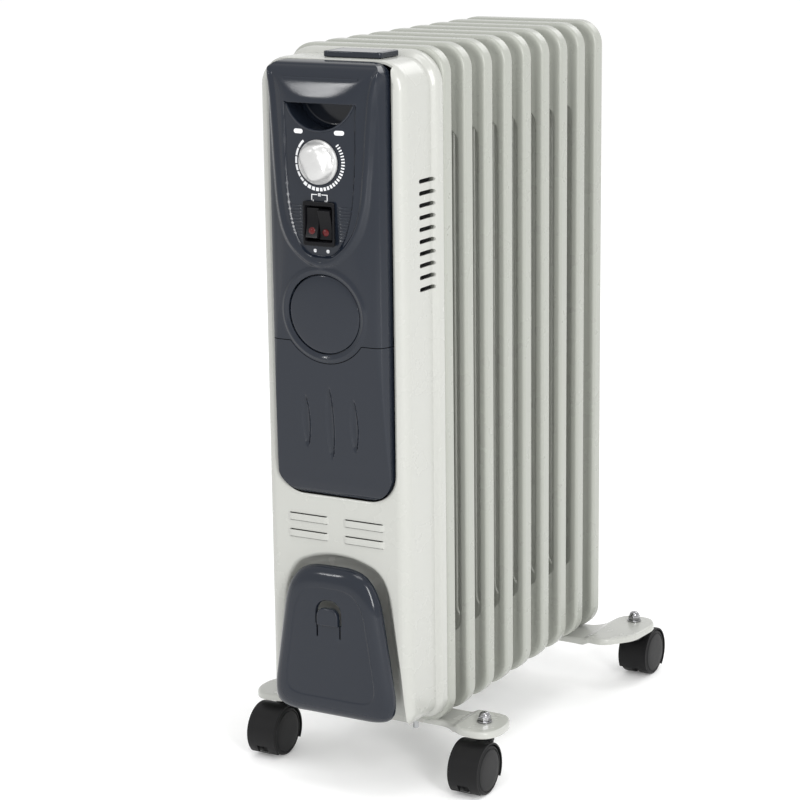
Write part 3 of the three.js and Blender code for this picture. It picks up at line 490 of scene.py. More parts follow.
# ---- Control panel and lower cover -------------------------------------------------------------
# One crowned glossy slate moulding in two parts. The upper part has the grip bar, a raised
# U-shaped band round a sunk shield, fine ribs beside the switch and a soft ring round the disc;
# the lower one has three spindle-shaped grooves. They meet at a seam that dips under the disc.
slate = surface(
    "slate_gloss", (0.0115, 0.0152, 0.0235), (0.0098, 0.013, 0.020), (0.035, 0.04, 0.052), (900, 0.04),
    (0.11, 0.04),
    specular=0.36,
)
DISC_Z, DISC_RADIUS, SEAM_Z, SEAM_RADIUS, SEAM_GAP = 427.5, 34.0, 403.0, 42.0, 0.7
SWITCH_Z, KNOB_Z, GRIP_Z, FLOOR_Y = 504.5, 555.5, 604.0, -17.5


def through(knots, values):
    """Smooth curve through knots, flat beyond its ends."""
    x, y = (np.array(column, float) for column in zip(*knots))
    slope = np.gradient(y, x)
    v = np.clip(values, x[0], x[-1])
    i = np.clip(np.searchsorted(x, v) - 1, 0, len(x) - 2)
    step = x[i + 1] - x[i]
    t = (v - x[i]) / step
    a, b = slope[i] * step, slope[i + 1] * step
    rise = y[i + 1] - y[i]
    return y[i] + t * a + t * t * (3 * rise - 2 * a - b) + t**3 * (a + b - 2 * rise)


def distance_to(path, x, z):
    """Least distance from each grid point to a line of points."""
    least = np.full(x.shape, 1e9)
    for (ax, az), (bx, bz) in zip(path, path[1:]):
        dx, dz = bx - ax, bz - az
        t = np.clip(((x - ax) * dx + (z - az) * dz) / (dx * dx + dz * dz), 0, 1)
        least = np.minimum(least, np.hypot(x - ax - t * dx, z - az - t * dz))
    return least


def both_sides(points, count=50):
    """Smooth line through the points of the right half, with its mirror image on the left."""
    x, z = (np.array(column, float) for column in zip(*points))
    along = np.concatenate([[0], np.cumsum(np.hypot(np.diff(x), np.diff(z)))])
    at = np.linspace(0, along[-1], count)
    right = list(zip(through(list(zip(along, x)), at), through(list(zip(along, z)), at)))
    return [(-px, pz) for px, pz in reversed(right[1:])] + right


def within(outline, x, z):
    """True for the grid points inside a closed outline."""
    odd = np.zeros(x.shape, bool)
    for (ax, az), (bx, bz) in zip(outline, outline[1:] + outline[:1]):
        if az != bz:
            odd ^= ((az > z) != (bz > z)) & (x < ax + (z - az) * (bx - ax) / (bz - az))
    return odd


SHIELD = both_sides([(0, 475.5), (7, 476), (13, 478.5), (19, 484), (24, 492), (28.3, 505), (31.2, 520),
                     (33.2, 540),
                     (34.4, 567), (35.2, GRIP_Z)])
CREST = both_sides([(0, 470.8), (9, 472.5), (17.5, 477.6), (28.2, 488), (35.2, 500), (39.5, 515), (43, 545),
                    (46, 588), (48.6, 613), (51, 623), (55, 631)])


def panel_front(x, z):
    profile = through([(268, 2), (271, 0), (276, -1.6), (290, -3.5), (340, -8), (420, -13), (480, -17.5),
                       (540, -20),
                       (585, -20.3), (600, -20), (606, -19.2), (614, -16.9), (622, -14.2), (628, -11.2),
                       (633, -6.8),
                       (635.6, -2), (636.5, 4)], z)
    section = through([(0, -20.4), (7, -20.2), (20, -19), (34, -16.6), (44, -13.2), (50.8, -10.2),
                       (52.6, -8.9),
                       (53.8, -6.6), (55.4, -3), (56.5, 2)], np.abs(x))
    front = (profile + section + np.sqrt((profile - section) ** 2 + 1.2)) / 2
    crest = distance_to(CREST, x, z)
    front -= 2.4 * np.exp(-((crest / 3.1) ** 3)) * smooth_step(636, 628, z)
    edge = distance_to(SHIELD + SHIELD[:1], x, z)
    sunk = np.maximum(FLOOR_Y, front + 2.0)
    front = np.where(within(SHIELD, x, z), front + (sunk - front) * smooth_step(0, 1.8, edge), front)
    ring = np.hypot(x, z - DISC_Z)
    front -= 1.4 * np.exp(-(((ring - 38.3) / 2.0) ** 2))
    for middle, reach in ((-23.5, 25), (0, 35), (23.5, 25)):
        t = np.clip(np.abs(z - 333) / reach, 0, 1)
        width = 4.3 * (1 - t**2) ** 0.8 + 0.01
        front += 1.9 * np.clip(1 - ((x - middle) / width) ** 2, 0, 1) ** 0.8 * smooth_step(1, 0.7, t)
    return front


def panel_shell():
    """Front grid and a copy 3 mm behind it, closed round the edge."""
    bands = ((268, 272, 9), (272, 628, 446), (628, 636.5, 18))
    rows = np.unique(np.concatenate([np.linspace(*band) for band in bands]))
    across = np.sin(np.linspace(-1, 1, 141) * math.pi / 2) * 0.25 + np.linspace(-1, 1, 141) * 0.75
    low = np.clip(1 - (rows - PANEL_LOW) / 24, 0, 1)
    high = np.clip(1 - (PANEL_HIGH - rows) / 16, 0, 1)
    half = PANEL_HALF - 24 * (1 - np.sqrt(1 - low**2)) - 16 * (1 - np.sqrt(1 - high**2))
    x = across[None, :] * half[:, None]
    z = np.repeat(rows[:, None], len(across), 1)
    y = panel_front(x, z)
    middle = (PANEL_LOW + PANEL_HIGH) / 2
    inner_x = x * (1 - 3 / PANEL_HALF)
    inner_z = middle + (z - middle) * (1 - 3 / 184)
    inner = (inner_x, np.minimum(y + 3, PANEL_BACK - 0.2), inner_z)
    bm = bmesh.new()
    grids = []
    for gx, gy, gz in ((x, y, z), inner):
        grids.append([
            [bm.verts.new((gx[r, c], gy[r, c], gz[r, c])) for c in range(len(across))]
            for r in range(len(rows))
        ])
    for grid in grids:
        for r in range(len(rows) - 1):
            for c in range(len(across) - 1):
                bm.faces.new((grid[r][c], grid[r][c + 1], grid[r + 1][c + 1], grid[r + 1][c]))
    last_row, last_column = len(rows) - 1, len(across) - 1
    path = [(0, c) for c in range(last_column)] + [(r, last_column) for r in range(last_row)]
    path += [(last_row, c) for c in range(last_column, 0, -1)] + [(r, 0) for r in range(last_row, 0, -1)]
    ends = []
    for grid in grids:
        ends.append([bm.verts.new((grid[r][c].co.x, PANEL_BACK, grid[r][c].co.z)) for r, c in path])
    edges = [[grids[0][r][c] for r, c in path], ends[0], ends[1], [grids[1][r][c] for r, c in path]]
    for first, second in zip(edges, edges[1:]):
        for i in range(len(path)):
            j = (i + 1) % len(path)
            bm.faces.new((first[i], first[j], second[j], second[i]))
    bmesh.ops.recalc_face_normals(bm, faces=bm.faces)
    return bm


def disc_tool(radius, low, high, z, sides=96):
    return loft(tube([(radius, low), (radius, high)], 0, z, sides))


def grip_outline(grow, top):
    """Segment of a circle below its flat upper edge, or up to the top of the room behind."""
    radius, drop, half = 34.17, 23.0, 33.0
    middle = GRIP_Z - drop + radius
    if top <= middle:
        swing = math.degrees(math.asin((middle - top) / radius))
        return arc(0, middle, radius + grow, 180 + swing, 360 - swing, 40)
    return arc(0, middle, radius + grow, 180, 360, 40) + [(radius + grow, top), (-radius - grow, top)]


def lip(outline, y_of, radius=0.9, sides=8):
    """Round bead laid along a closed outline on the panel."""
    count = len(outline)
    rings = []
    for i, (x, z) in enumerate(outline):
        px, pz = outline[i - 1]
        nx, nz = outline[(i + 1) % count]
        run = Vector((nx - px, 0, nz - pz)).normalized()
        side = run.cross(Vector((0, 1, 0)))
        around = np.radians(np.linspace(0, 360, sides, endpoint=False))
        middle = Vector((x, y_of(x, z), z))
        toward = Vector((0, 1, 0))
        rings.append([middle + radius * (math.cos(a) * side + math.sin(a) * toward) for a in around])
    return loft(rings + [rings[0]], capped=False)


def front_at(x, z):
    return float(panel_front(np.array([float(x)]), np.array([float(z)]))[0])


def ribs():
    made = []
    for row in range(11):
        z = 518.5 - 2.75 * row
        reach = max(px for px, pz in SHIELD if pz < z) - 1.2
        for side in (-1, 1):
            rings = []
            for k, x in enumerate(np.linspace(16.4, reach, 7)):
                size = 0.3 if k in (0, 6) else 0.75
                y = front_at(side * x, z) + 0.15
                around = np.radians(range(0, 360, 45))
                rings.append([(side * x, y + size * math.sin(a), z + size * math.cos(a)) for a in around])
            made.append(loft(rings))
    return made


whole_panel = panel_shell()
lower_half = whole_panel.copy()
upper_disc = disc_tool(SEAM_RADIUS, -60.5, 60.5, DISC_Z)
upper_zone = combined(box_mesh((-90, -60, SEAM_Z), (90, 60, 700)), [upper_disc], "UNION")
lower_disc = disc_tool(SEAM_RADIUS + SEAM_GAP, -61.5, 61.5, DISC_Z)
lower_zone = combined(box_mesh((-90, -61, SEAM_Z - SEAM_GAP), (90, 61, 701)), [lower_disc], "UNION")
upper_half = combined(whole_panel, [upper_zone], "INTERSECT")
holes = [
    swept(grip_outline(0, GRIP_Z), [(0, -60), (0, 30)]),
    disc_tool(DISC_RADIUS + 0.5, -60, 60, DISC_Z),
    disc_tool(3.8, -60, 0, KNOB_Z, 24),
    box_mesh((-13.5, -60, SWITCH_Z - 17), (13.5, 0, SWITCH_Z + 17)),
]
upper_half = combined(upper_half, holes)
disc_seat = loft(tube([(37.5, -8.4), (37.5, -5.6)], 0, DISC_Z, 64))
grip_edge = lip(grip_outline(0.5, GRIP_Z), lambda x, z: front_at(x, min(z, GRIP_Z - 3)) + 0.2, 1.0)
finished(joined([upper_half, disc_seat, grip_edge, *ribs()]), "control_panel_moulding", "frame",
         slate, ["control_panel"])
finished(combined(lower_half, [lower_zone]), "lower_cover_moulding", "frame",
         slate, ["lower_cover"])

# ---- Grip cup ----------------------------------------------------------------------------------
# The hollow behind the grip bar, a separate glossy slate moulding clipped in from behind. Its
# curved lower wall shows inside the opening.


def cup_mesh():
    """Outer form less inner form, so that the floor of the cup is closed."""
    outer = swept(grip_outline(2, 624), [(0, -14.1), (0, 8.5), (1.5, 10.6), (4, 11.6)])
    inner = swept(grip_outline(0, 622), [(0, -20), (0, 5.5), (1.2, 8), (3.6, 9.4)])
    keep = [(-60, -14.1, 560), (60, 12, 640)]
    return combined(combined(outer, [inner]), [box_mesh(*keep)], "INTERSECT")


finished(cup_mesh(), "grip_cup_moulding", "frame", slate, ["grip_cup"])

# ---- Disc --------------------------------------------------------------------------------------
# Blank round cover pressed into the panel, slightly domed, glossy slate.
dome = [(0.0, -14.9), (4, -14.88), (10, -14.8), (20, -14.45), (27, -14.0), (31, -13.6), (32.8, -13.2),
        (33.7, -12.5),
        (34, -11.5), (34, -8.9), (0.0, -8.9)]
disc = loft(tube(dome, 0, DISC_Z, 96))
lean = math.radians(3.2)
pivot = Vector((0, -11.5, DISC_Z))
bmesh.ops.rotate(disc, cent=pivot, matrix=Matrix.Rotation(lean, 3, "X"), verts=disc.verts)
finished(disc, "disc_cover", "frame", slate, ["badge_disc"])

# ---- Thermostat knob ---------------------------------------------------------------------------
# Pearl-silver moulded knob: a low cone pinched from both sides into a diagonal grip.
pearl = surface(
    "knob_pearl", (0.56, 0.56, 0.55), (0.47, 0.47, 0.47), (0.7, 0.7, 0.7), (1500, 0.08), (0.24, 0.1),
    metallic=0.35, coat=0.3,
)


def knob_mesh():
    sides, base = 96, FLOOR_Y - 0.3
    profile = [(0.0, 0), (18.0, 0), (18.5, 0.6), (18.5, 1.6), (18.1, 2.4), (17.2, 3.2), (16.6, 4.6),
               (15.9, 7),
               (14.9, 9.4), (13.2, 11.4), (11, 12.5), (8, 13), (4, 13.1), (1.5, 13.12), (0.0, 13.12)]
    rings = []
    for radius, height in profile:
        ring = []
        for k in range(sides):
            a = 2 * math.pi * k / sides
            x, z = radius * math.cos(a), radius * math.sin(a)
            across = math.cos(a - math.radians(25))
            pinch = max(0.0, abs(across) * radius - 7.5) * smooth_step(3.0, 9.5, height)
            drop = min(1.0, pinch / 7) ** 1.1
            y = base - height + drop * (height - 3.2) * 0.85
            ring.append((x, y, KNOB_Z + z))
        rings.append(ring)
    body = loft(rings)
    shaft = loft(tube([(3, base - 1), (3, base + 14)], 0, KNOB_Z, 24))
    return joined([body, shaft])


finished(knob_mesh(), "thermostat_dial_knob", "knob", pearl, ["thermostat_knob"], sharp=50)

# ---- Printed marks -----------------------------------------------------------------------------
# White pad print on the shield: a ring of marks that thin out clockwise round the knob, two blank
# lozenges, and small brackets and bars at the switch. Thin raised ink, no lettering.
ink, ink_shader = new_material("white_ink")
speckle = ink.node_tree.nodes.new("ShaderNodeTexNoise")
speckle.inputs["Scale"].default_value = 1800
ink_tone = ink.node_tree.nodes.new("ShaderNodeValToRGB")
ink_tone.color_ramp.elements[0].color = (0.66, 0.67, 0.69, 1)
ink_tone.color_ramp.elements[1].color = (0.82, 0.83, 0.84, 1)
ink.node_tree.links.new(speckle.outputs["Fac"], ink_tone.inputs["Fac"])
ink.node_tree.links.new(ink_tone.outputs["Color"], ink_shader.inputs["Base Color"])
ink_shader.inputs["Roughness"].default_value = 0.45


INK = 0.2


def print_patch(outline):
    """Ink film 0.2 mm proud of the shield, following it across the outline."""
    x, z = (sum(column) / len(outline) for column in zip(*outline))
    front, back = (
        [(px, front_at(px, pz) + shift, pz) for px, pz in outline] for shift in (-INK, INK)
    )
    bm = loft([front, back])
    caps = [face for face in bm.faces if len(face.verts) == len(outline)]
    for face in caps:
        near = face.calc_center_median().y
        middle = bmesh.ops.poke(bm, faces=[face])["verts"][0]
        middle.co = (x, front_at(x, z) + (-INK if near < front_at(x, z) else INK), z)
    return bm


def ring_mark(start, end, inner, outer):
    return print_patch([*arc(0, KNOB_Z, outer, start, end, 4),
                        *reversed(arc(0, KNOB_Z, inner, start, end, 4))])


marks = []
angle = 130.0
share = 0.0
while angle < 402:
    share = (angle - 130) / 272
    length = 17 * (1 - share) ** 2.2 + 2.6
    gap = 2.4 + 1.2 * share
    wide = 2.9 if share > 0.35 else 1.9
    marks.append(ring_mark(angle, min(angle + length, 404), 21.2, 21.2 + wide))
    angle += length + gap
for middle in (-19.5, 19.5):
    lozenge = arc(middle + 2.6, 580, 1.9, -90, 90, 8) + arc(middle - 2.6, 580, 1.9, 90, 270, 8)
    marks.append(print_patch(lozenge))
bars = [(-7.4, 526.2, 0.4, 2.6), (7.4, 526.2, 0.4, 2.6), (-4.8, 528.5, 2.8, 0.35), (4.8, 528.5, 2.8, 0.35),
        (-6.0, 522.6, 0.35, 1.5), (5.4, 522.6, 0.35, 1.5), (6.8, 522.6, 0.35, 1.5),
        (-0.9, 528.5, 0.3, 1.3), (0, 528.5, 0.3, 1.3), (0.9, 528.5, 0.3, 1.3)]
marks += [
    print_patch([(x - w, z - h), (x + w, z - h), (x + w, z + h), (x - w, z + h)]) for x, z, w, h in bars
]
for x in (-6.2, 6.2):
    ring = [*arc(x, 481.4, 1.5, 0, 340, 14), *reversed(arc(x, 481.4, 1.0, 0, 340, 14))]
    marks.append(print_patch(ring))
finished(joined(marks), "dial_print", "frame", ink)

# ---- Switch ------------------------------------------------------------------------------------
# Glossy black snap-in frame with two rocker keys tipped opposite ways; each key carries a small
# round red lens in its lower half.
gloss_black = surface(
    "black_gloss", (0.005, 0.005, 0.006), (0.0035, 0.0035, 0.0045), (0.012, 0.012, 0.013), (1300, 0.06),
    (0.2, 0.1),
    specular=0.15,
)
BEZEL_BACK = FLOOR_Y - 0.3


def switch_frame_mesh():
    outer = rounded(15, SWITCH_Z - 18.5, SWITCH_Z + 18.5, 2.2, 2.2, 6)
    rim = swept(outer, edge_steps(BEZEL_BACK, BEZEL_BACK - 2.4, 0.8, 3))
    back = box_mesh((-13.1, BEZEL_BACK - 1, SWITCH_Z - 16.6), (13.1, BEZEL_BACK + 12, SWITCH_Z + 16.6))
    body = combined(rim, [back], "UNION")
    pocket = swept(rounded(12.15, SWITCH_Z - 13.9, SWITCH_Z + 13.9, 0.8, 0.8, 3),
                   [(-1.2, BEZEL_BACK - 5), (-1.2, BEZEL_BACK - 2.4), (0, BEZEL_BACK - 0.8),
                    (0, BEZEL_BACK + 9)])
    return combined(body, [pocket])


def rocker_mesh(side):
    face = [(-5.6, -12.2), (-5.3, -11), (-4.3, -4.5), (-4.1, 0), (-4.3, 4.5), (-5.3, 11), (-5.6, 12.2)]
    outline = face + [(-4.6, 12.8), (-1, 12.9), (4.4, 5), (4.4, -5), (-1, -12.9), (-4.6, -12.8)]
    low = -11.85 if side < 0 else 0.25
    bm = swept(list(reversed(outline)), edge_steps(low, low + 11.6, 0.5, 2), "x")
    turn = Matrix.Rotation(math.radians(8 * side), 4, "X")
    bm.transform(Matrix.Translation((0, BEZEL_BACK + 3, SWITCH_Z)) @ turn)
    return bm


lens, lens_shader = new_material("red_lens")
glow = lens.node_tree.nodes.new("ShaderNodeTexVoronoi")
glow.inputs["Scale"].default_value = 900
glow_tone = lens.node_tree.nodes.new("ShaderNodeValToRGB")
glow_tone.color_ramp.elements[0].color = (0.11, 0.004, 0.005, 1)
glow_tone.color_ramp.elements[1].color = (0.05, 0.002, 0.003, 1)
lens.node_tree.links.new(glow.outputs["Distance"], glow_tone.inputs["Fac"])
lens.node_tree.links.new(glow_tone.outputs["Color"], lens_shader.inputs["Base Color"])
lens_shader.inputs["Roughness"].default_value = 0.08
lens_shader.inputs["Specular IOR Level"].default_value = 0.3

finished(switch_frame_mesh(), "switch_bezel", "frame", gloss_black, ["switch_frame"])
for side, word in ((-1, "left"), (1, "right")):
    finished(rocker_mesh(side), f"rocker_key_{word}", f"rocker_{word}", gloss_black,
             [f"rocker_{word}"])
    bead = loft(tube([(3.1, -3.9), (3.0, -4.9), (2.4, -5.5), (1.2, -5.9), (0.0, -6.0)], side * 6.05, 0, 28))
    tip = Matrix.Rotation(math.radians(8 * side), 4, "X")
    place = Matrix.Translation((0, BEZEL_BACK + 3, SWITCH_Z)) @ tip
    bead.transform(place @ Matrix.Translation((0, 0, -6.6)))
    finished(bead, f"rocker_lens_{word}", f"rocker_{word}", lens)

# ---- Top pad -----------------------------------------------------------------------------------
# Dark plastic pad snapped into the top of the housing, with a shallow groove along both ends.
PAD_X, PAD_HALF, PAD_LOW, PAD_HIGH = 14.5, 27.5, 638.3, 643.3


def pad_mesh():
    outline = [(x + PAD_X, y) for x, y in rounded(PAD_HALF, 13, 45, 3, 3, 5)]
    pad = swept(outline, edge_steps(PAD_LOW, PAD_HIGH, 1.0, 3), "z")
    grooves = [
        box_mesh((PAD_X + x - 0.4, 10, PAD_HIGH - 0.5), (PAD_X + x + 0.4, 50, PAD_HIGH + 1))
        for x in (-24.5, 24.5)
    ]
    return combined(pad, grooves)


finished(pad_mesh(), "top_pad_cover", "frame", slate, ["top_pad"])

# ---- Cord hook plate ---------------------------------------------------------------------------
# Pillow-shaped slate moulding on a post in front of the cord recess. A springy tongue with a
# proud rounded tip, under an arched opening, clips the plug.
HOOK_BACK, HOOK_EDGE, HOOK_CROWN, HOOK_SKIN, HOOK_MIDDLE_Z = -4.0, 3.0, 9.5, 3.0, 141.0
HOOK_FRONT = HOOK_BACK - HOOK_EDGE - HOOK_CROWN
CLIP_HALF, CLIP_SLIT, CLIP_LOW, CLIP_STEP, CLIP_TOP = 10.5, 1.6, 146.0, 158.0, 173.0


def hook_rings(shrink, backwards, radius):
    """Rings of the pillow from its back edge to the crease where the front goes flat."""
    corners = [(-61, 86), (-51, 73), (51, 73), (61, 86), (45, 187.5), (28, 207.5), (-28, 207.5),
               (-45, 187.5)]
    outline = soft_polygon(corners, 19)
    rings = []
    turn = [math.radians(90 * i / 4) for i in range(5)]
    edge = [(radius * (1 - math.sin(a)), HOOK_BACK - radius * (1 - math.cos(a))) for a in turn]
    edge += [(0, HOOK_BACK - HOOK_EDGE + radius)]
    for move, y in edge:
        rings.append([(x, y + backwards, z) for x, z in inset(outline, move + shrink)])
    for t in np.linspace(0, 1, 12)[1:]:
        taper = 1 - 0.25 * t * t
        y = HOOK_BACK - HOOK_EDGE - HOOK_CROWN * math.sin(math.pi / 2 * t) + (0.8 * (1 - t) * (t > 0))
        ring = [
            (x * taper, y + backwards, HOOK_MIDDLE_Z + (z - HOOK_MIDDLE_Z) * taper)
            for x, z in inset(outline, shrink)
        ]
        rings.append(ring)
    last = rings[-1]
    for share, dip in ((0.985, 0.5), (0.965, 0.75), (0.93, 0.6), (0.8, 0.25), (0.5, 0.05), (0.2, 0.0)):
        rings.append([
            (x * share, y + dip, HOOK_MIDDLE_Z + (z - HOOK_MIDDLE_Z) * share)
            for x, y, z in last
        ])
    return rings


def hook_mesh():
    outer = hook_rings(0, 0, 1.4)
    inner = [ring for ring in hook_rings(HOOK_SKIN, HOOK_SKIN, 0.1) if ring[0][1] < HOOK_BACK - 0.2]
    flat_back = [(x, HOOK_BACK, z) for x, _, z in inner[0]]
    shell = loft([*reversed(outer), flat_back, *inner])
    arch = swept(rounded(CLIP_HALF + CLIP_SLIT, CLIP_STEP, CLIP_TOP + 6, 1, 11, 10),
                 [(-1.0, -40), (-1.0, HOOK_FRONT - 0.2), (0, HOOK_FRONT + 1.2), (0, 5)])
    slit_outline = rounded(CLIP_SLIT / 2, CLIP_LOW, CLIP_STEP + 2, 0.7, 0.2, 5)
    slits = [
        swept([(x + side * (CLIP_HALF + CLIP_SLIT / 2), z) for x, z in slit_outline],
              [(0, -40), (0, 5)])
        for side in (-1, 1)
    ]
    shell = combined(shell, [arch, *slits])
    post = swept(rounded(20, 98, 138, 8, 8, 6), [(0, HOOK_FRONT + 1), (0, 19.7)])
    tongue = swept(rounded(CLIP_HALF, CLIP_STEP - 1, CLIP_TOP, 1.6, 8, 8),
                   edge_steps(HOOK_FRONT + HOOK_SKIN, HOOK_FRONT - 3, 1.5, 4))
    return joined([shell, post, tongue])


finished(hook_mesh(), "cord_hook_moulding", "frame", slate, ["cord_hook_plate"])

# ---- Cross brackets ----------------------------------------------------------------------------
# Pressed steel in the housing's off-white enamel: a rim turned down all round, a seat raised at each end for
# the caster, and an arm that drops to pass below the fins.
STEM_X, GAP_FRONT, GAP_REAR, STEM_FRONT, STEM_REAR = 103.0, 85.5, 344.5, 74.0, 392.0


def bracket_outline(stem_y, gap_y, front):
    if front:
        right = [(70, gap_y - 16), (88, stem_y - 25), (113, stem_y - 28), (124, stem_y - 14),
                 (124, stem_y + 8),
                 (114, stem_y + 26), (92, stem_y + 27), (70, gap_y + 16)]
    else:
        right = [(70, gap_y - 16), (100, gap_y - 21), (122, gap_y + 6), (125, stem_y), (115, stem_y + 17),
                 (90, stem_y + 17), (70, gap_y + 28)]
    return soft_polygon(right + [(-x, y) for x, y in reversed(right)], 10, 7)


def bracket_mesh(stem_y, gap_y, front):
    outline = bracket_outline(stem_y, gap_y, front)
    steps = [(0.3, 51.9), (0, 52.3), (0, 55.6), (0.35, 56.7), (1.1, 57.6), (2.2, 58)]
    bm = swept(outline, steps, "z")
    hollow = swept(outline, [(2, 40), (2, 54), (2.4, 55.3), (4.2, 56)], "z")
    bm = combined(bm, [hollow])
    holes = [loft(tube([(3.2, 20), (3.2, 80)], 0, 0, 20)) for _ in range(2)]
    for hole, side in zip(holes, (-1, 1)):
        upright = Matrix.Rotation(math.radians(90), 4, "X")
        hole.transform(Matrix.Translation((side * STEM_X, stem_y, 0)) @ upright)
    bm = combined(bm, holes)
    for x in (76, 78, 80, 82, 84, 86):
        for side in (-1, 1):
            geometry = [*bm.verts, *bm.edges, *bm.faces]
            bmesh.ops.bisect_plane(bm, geom=geometry, plane_co=(side * x, 0, 0), plane_no=(1, 0, 0))
    for vertex in bm.verts:
        drop = float(smooth_step(86.0, 76.0, np.array(abs(vertex.co.x))))
        vertex.co.z -= 3.5 * drop
    return bm


for word, stem_y, gap_y in (("front", STEM_FRONT, GAP_FRONT), ("rear", STEM_REAR, GAP_REAR)):
    finished(bracket_mesh(stem_y, gap_y, word == "front"), f"{word}_cross_bracket", "frame",
             housing_paint, [f"{word}_bracket"])

# ---- Casters -----------------------------------------------------------------------------------
# Twin-wheel casters in fine-textured black nylon: a drum hood with a notch low at its trailing
# side, and two wheels with a stepped rim; chrome cap nuts hold them to the brackets.
nylon = surface(
    "caster_nylon_texture", (0.007, 0.007, 0.0075), (0.005, 0.005, 0.0055), (0.016, 0.016, 0.017),
    (1900, 0.5),
    (0.38, 0.16), specular=0.2,
)
chrome = surface(
    "chrome_plate", (0.34, 0.34, 0.35), (0.28, 0.28, 0.29), (0.5, 0.5, 0.5), (500, 0.03), (0.06, 0.08),
    metallic=1.0,
)
WHEEL_RADIUS, WHEEL_IN, TRAIL = 22.0, 2.4, 19.0
HOOD_HALF, HOOD_TOP = 14.6, 47.0


def along_x(bm, x, y, z, side=1):
    """Turns a piece made along Y so that it runs outwards along X from (x, y, z)."""
    bm.transform(Matrix.Translation((x, y, z)) @ Matrix.Rotation(math.radians(-90 * side), 4, "Z"))
    return bm


def wheel_mesh(x, y, side):
    steps = [(2.6, 10.2), (2.6, 0), (21.2, 0), (22, 0.8), (22, 9.6), (21.7, 10.9), (20.8, 11.6),
             (19.6, 11.8),
             (19.3, 11.2), (18.9, 11.1), (18.5, 11.6), (17.8, 12.2), (12, 12.5), (5, 12.6), (0.0, 12.6),
             (0.0, 10.2)]
    bm = loft(tube(steps, 0, 0, 64), capped=False)
    return along_x(bm, x + side * WHEEL_IN, y, WHEEL_RADIUS, side)


def hood_mesh(x, stem_y, trail):
    y = stem_y + trail * TRAIL
    sweep = np.radians(np.linspace(-45, 210.6, 65))
    half = HOOD_HALF
    section = [(22.8, -half + 0.3), (23.1, -half), (23.9, -half), (24.35, -half + 0.25),
               (24.5, -half + 0.9),
               (24.5, half - 0.9), (24.35, half - 0.25), (23.9, half), (23.1, half), (22.8, half - 0.3)]
    rings = [
        [(x + across, y + trail * r * math.cos(a), WHEEL_RADIUS + r * math.sin(a)) for r, across in section]
        for a in sweep
    ]
    band = loft(rings)
    edge = [(y + trail * 23.7 * math.cos(a), WHEEL_RADIUS + 23.7 * math.sin(a)) for a in sweep[::2]]
    if trail < 0:
        edge.reverse()
    web = swept(edge, [(0, x - 2), (0, x + 2)], "x")
    boss = [(7.9, 40), (8.4, 42), (8.3, 44), (7.9, HOOD_TOP - 0.6), (7.3, HOOD_TOP), (3.2, HOOD_TOP),
            (3.2, 40)]
    around = np.radians(np.linspace(0, 360, 40, endpoint=False))
    post_rings = [
        [(x + r * math.cos(a), stem_y + r * math.sin(a), z) for a in around] for r, z in boss
    ]
    post = loft(post_rings, capped=False)
    pieces = []
    for piece in (band, web):
        bore = along_x(loft(tube([(2.7, -6), (2.7, 6)], 0, 0, 24)), x, y, WHEEL_RADIUS)
        notch = box_mesh((x - 5.5, y + trail * 24.5 - 9, 5.2), (x + 5.5, y + trail * 24.5 + 9, 12.5))
        for solid in (piece, bore, notch):
            bmesh.ops.recalc_face_normals(solid, faces=solid.faces)
        pieces.append(combined(piece, [bore, notch]))
    return joined([*pieces, post])


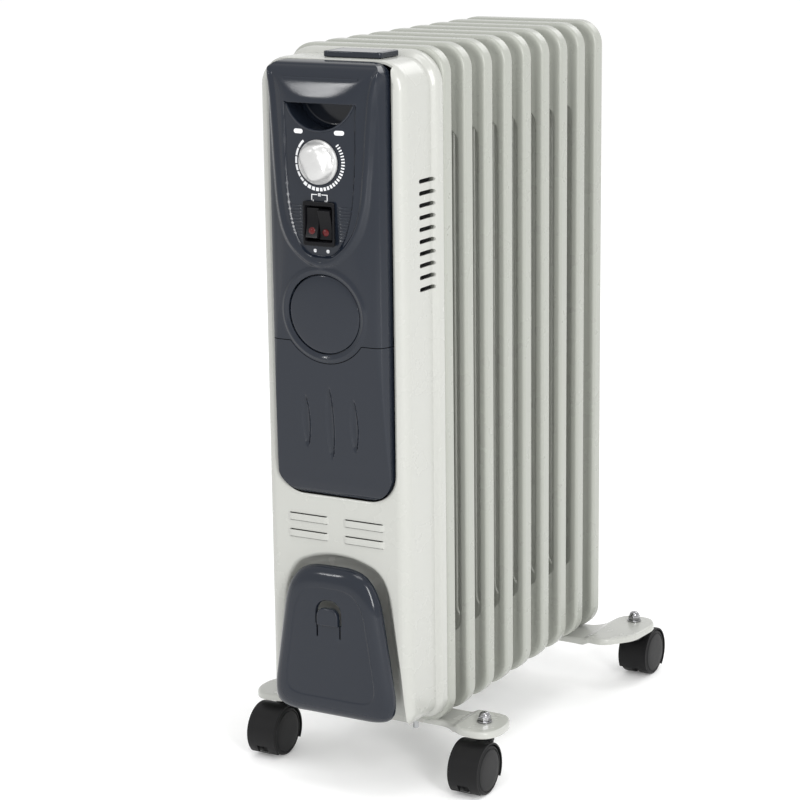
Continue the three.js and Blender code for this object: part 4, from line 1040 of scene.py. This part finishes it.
def cap_nut_mesh(x, y):
    low = 58.3
    washer = [(3.4, 0), (6.6, 0), (6.7, 0.2), (6.7, 1.2), (6.4, 1.5), (3.4, 1.5)]
    around = np.radians(np.linspace(0, 360, 48, endpoint=False))
    washer_rings = [
        [(x + r * math.cos(a), y + r * math.sin(a), low + z) for a in around] for r, z in washer
    ]
    ring = loft(washer_rings, capped=False)
    hexagon = [(0.94, 1.5), (1, 1.9), (1, 5.0), (0.94, 5.4), (0.86, 5.6)]
    flat = math.radians(60)
    reach = [6.0 * math.cos(flat / 2) / math.cos(((a + 0.3) % flat) - flat / 2) for a in around]
    body = [
        [(x + s * r * math.cos(a), y + s * r * math.sin(a), low + z) for r, a in zip(reach, around)]
        for s, z in hexagon
    ]
    dome = [(4.85, 5.6), (4.8, 6.4), (4.45, 7.4), (3.8, 8.3), (2.8, 9.0), (1.5, 9.3), (0.0, 9.4)]
    body += [[(x + r * math.cos(a), y + r * math.sin(a), low + z) for a in around] for r, z in dome]
    body = [[(x + 3.4 * math.cos(a), y + 3.4 * math.sin(a), low + 1.5) for a in around], *body]
    return joined([ring, loft(body)])


for end, stem_y, trail in (("front", STEM_FRONT, -1), ("rear", STEM_REAR, 1)):
    for hand, side in (("left", -1), ("right", 1)):
        caster, x = f"caster_{end}_{hand}", side * STEM_X
        finished(hood_mesh(x, stem_y, trail), f"{caster}_drum_hood", f"{caster}_fork",
                 nylon,
                 [f"{caster}_hood"])
        finished(cap_nut_mesh(x, stem_y), f"{caster}_dome_nut", "frame", chrome,
                 [f"{caster}_cap_nut"])
        for word, out in (("left", -1), ("right", 1)):
            wheel = wheel_mesh(x, stem_y + trail * TRAIL, out)
            finished(wheel, f"{caster}_roller_{word}", f"{caster}_wheel_{word}",
                     nylon, [f"{caster}_wheel_{word}"])

# ---- Clamps, stems and inner parts -------------------------------------------------------------
# Kept as the CAD gives them, with their own finishes: zinc-plated U-bolts, wing nuts, stems and
# axles, the galvanised back plate, the steel element and the brown phenolic safety devices.
zinc = surface(
    "zinc_plate", (0.46, 0.47, 0.48), (0.36, 0.37, 0.38), (0.62, 0.62, 0.62), (260, 0.12), (0.28, 0.2),
    metallic=1.0,
)
element_steel = surface(
    "element_sheath", (0.30, 0.28, 0.25), (0.22, 0.20, 0.17), (0.42, 0.40, 0.36), (700, 0.2), (0.34, 0.2),
    metallic=1.0,
)
phenolic = surface(
    "phenolic_brown", (0.035, 0.022, 0.015), (0.025, 0.016, 0.011), (0.07, 0.05, 0.04), (1100, 0.3),
    (0.5, 0.15)
)
matt_black = surface(
    "black_moulding", (0.015, 0.015, 0.016), (0.011, 0.011, 0.012), (0.045, 0.045, 0.046), (1500, 0.3),
    (0.4, 0.15),
)
kept = {"heating_element": element_steel, "thermostat_body": phenolic, "thermal_cutout": phenolic,
        "tip_over_switch": phenolic, "cord_gland": matt_black}
for name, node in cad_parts.items():
    if not node.hide_render:
        for slot in node.material_slots:
            slot.material = kept.get(name, zinc)
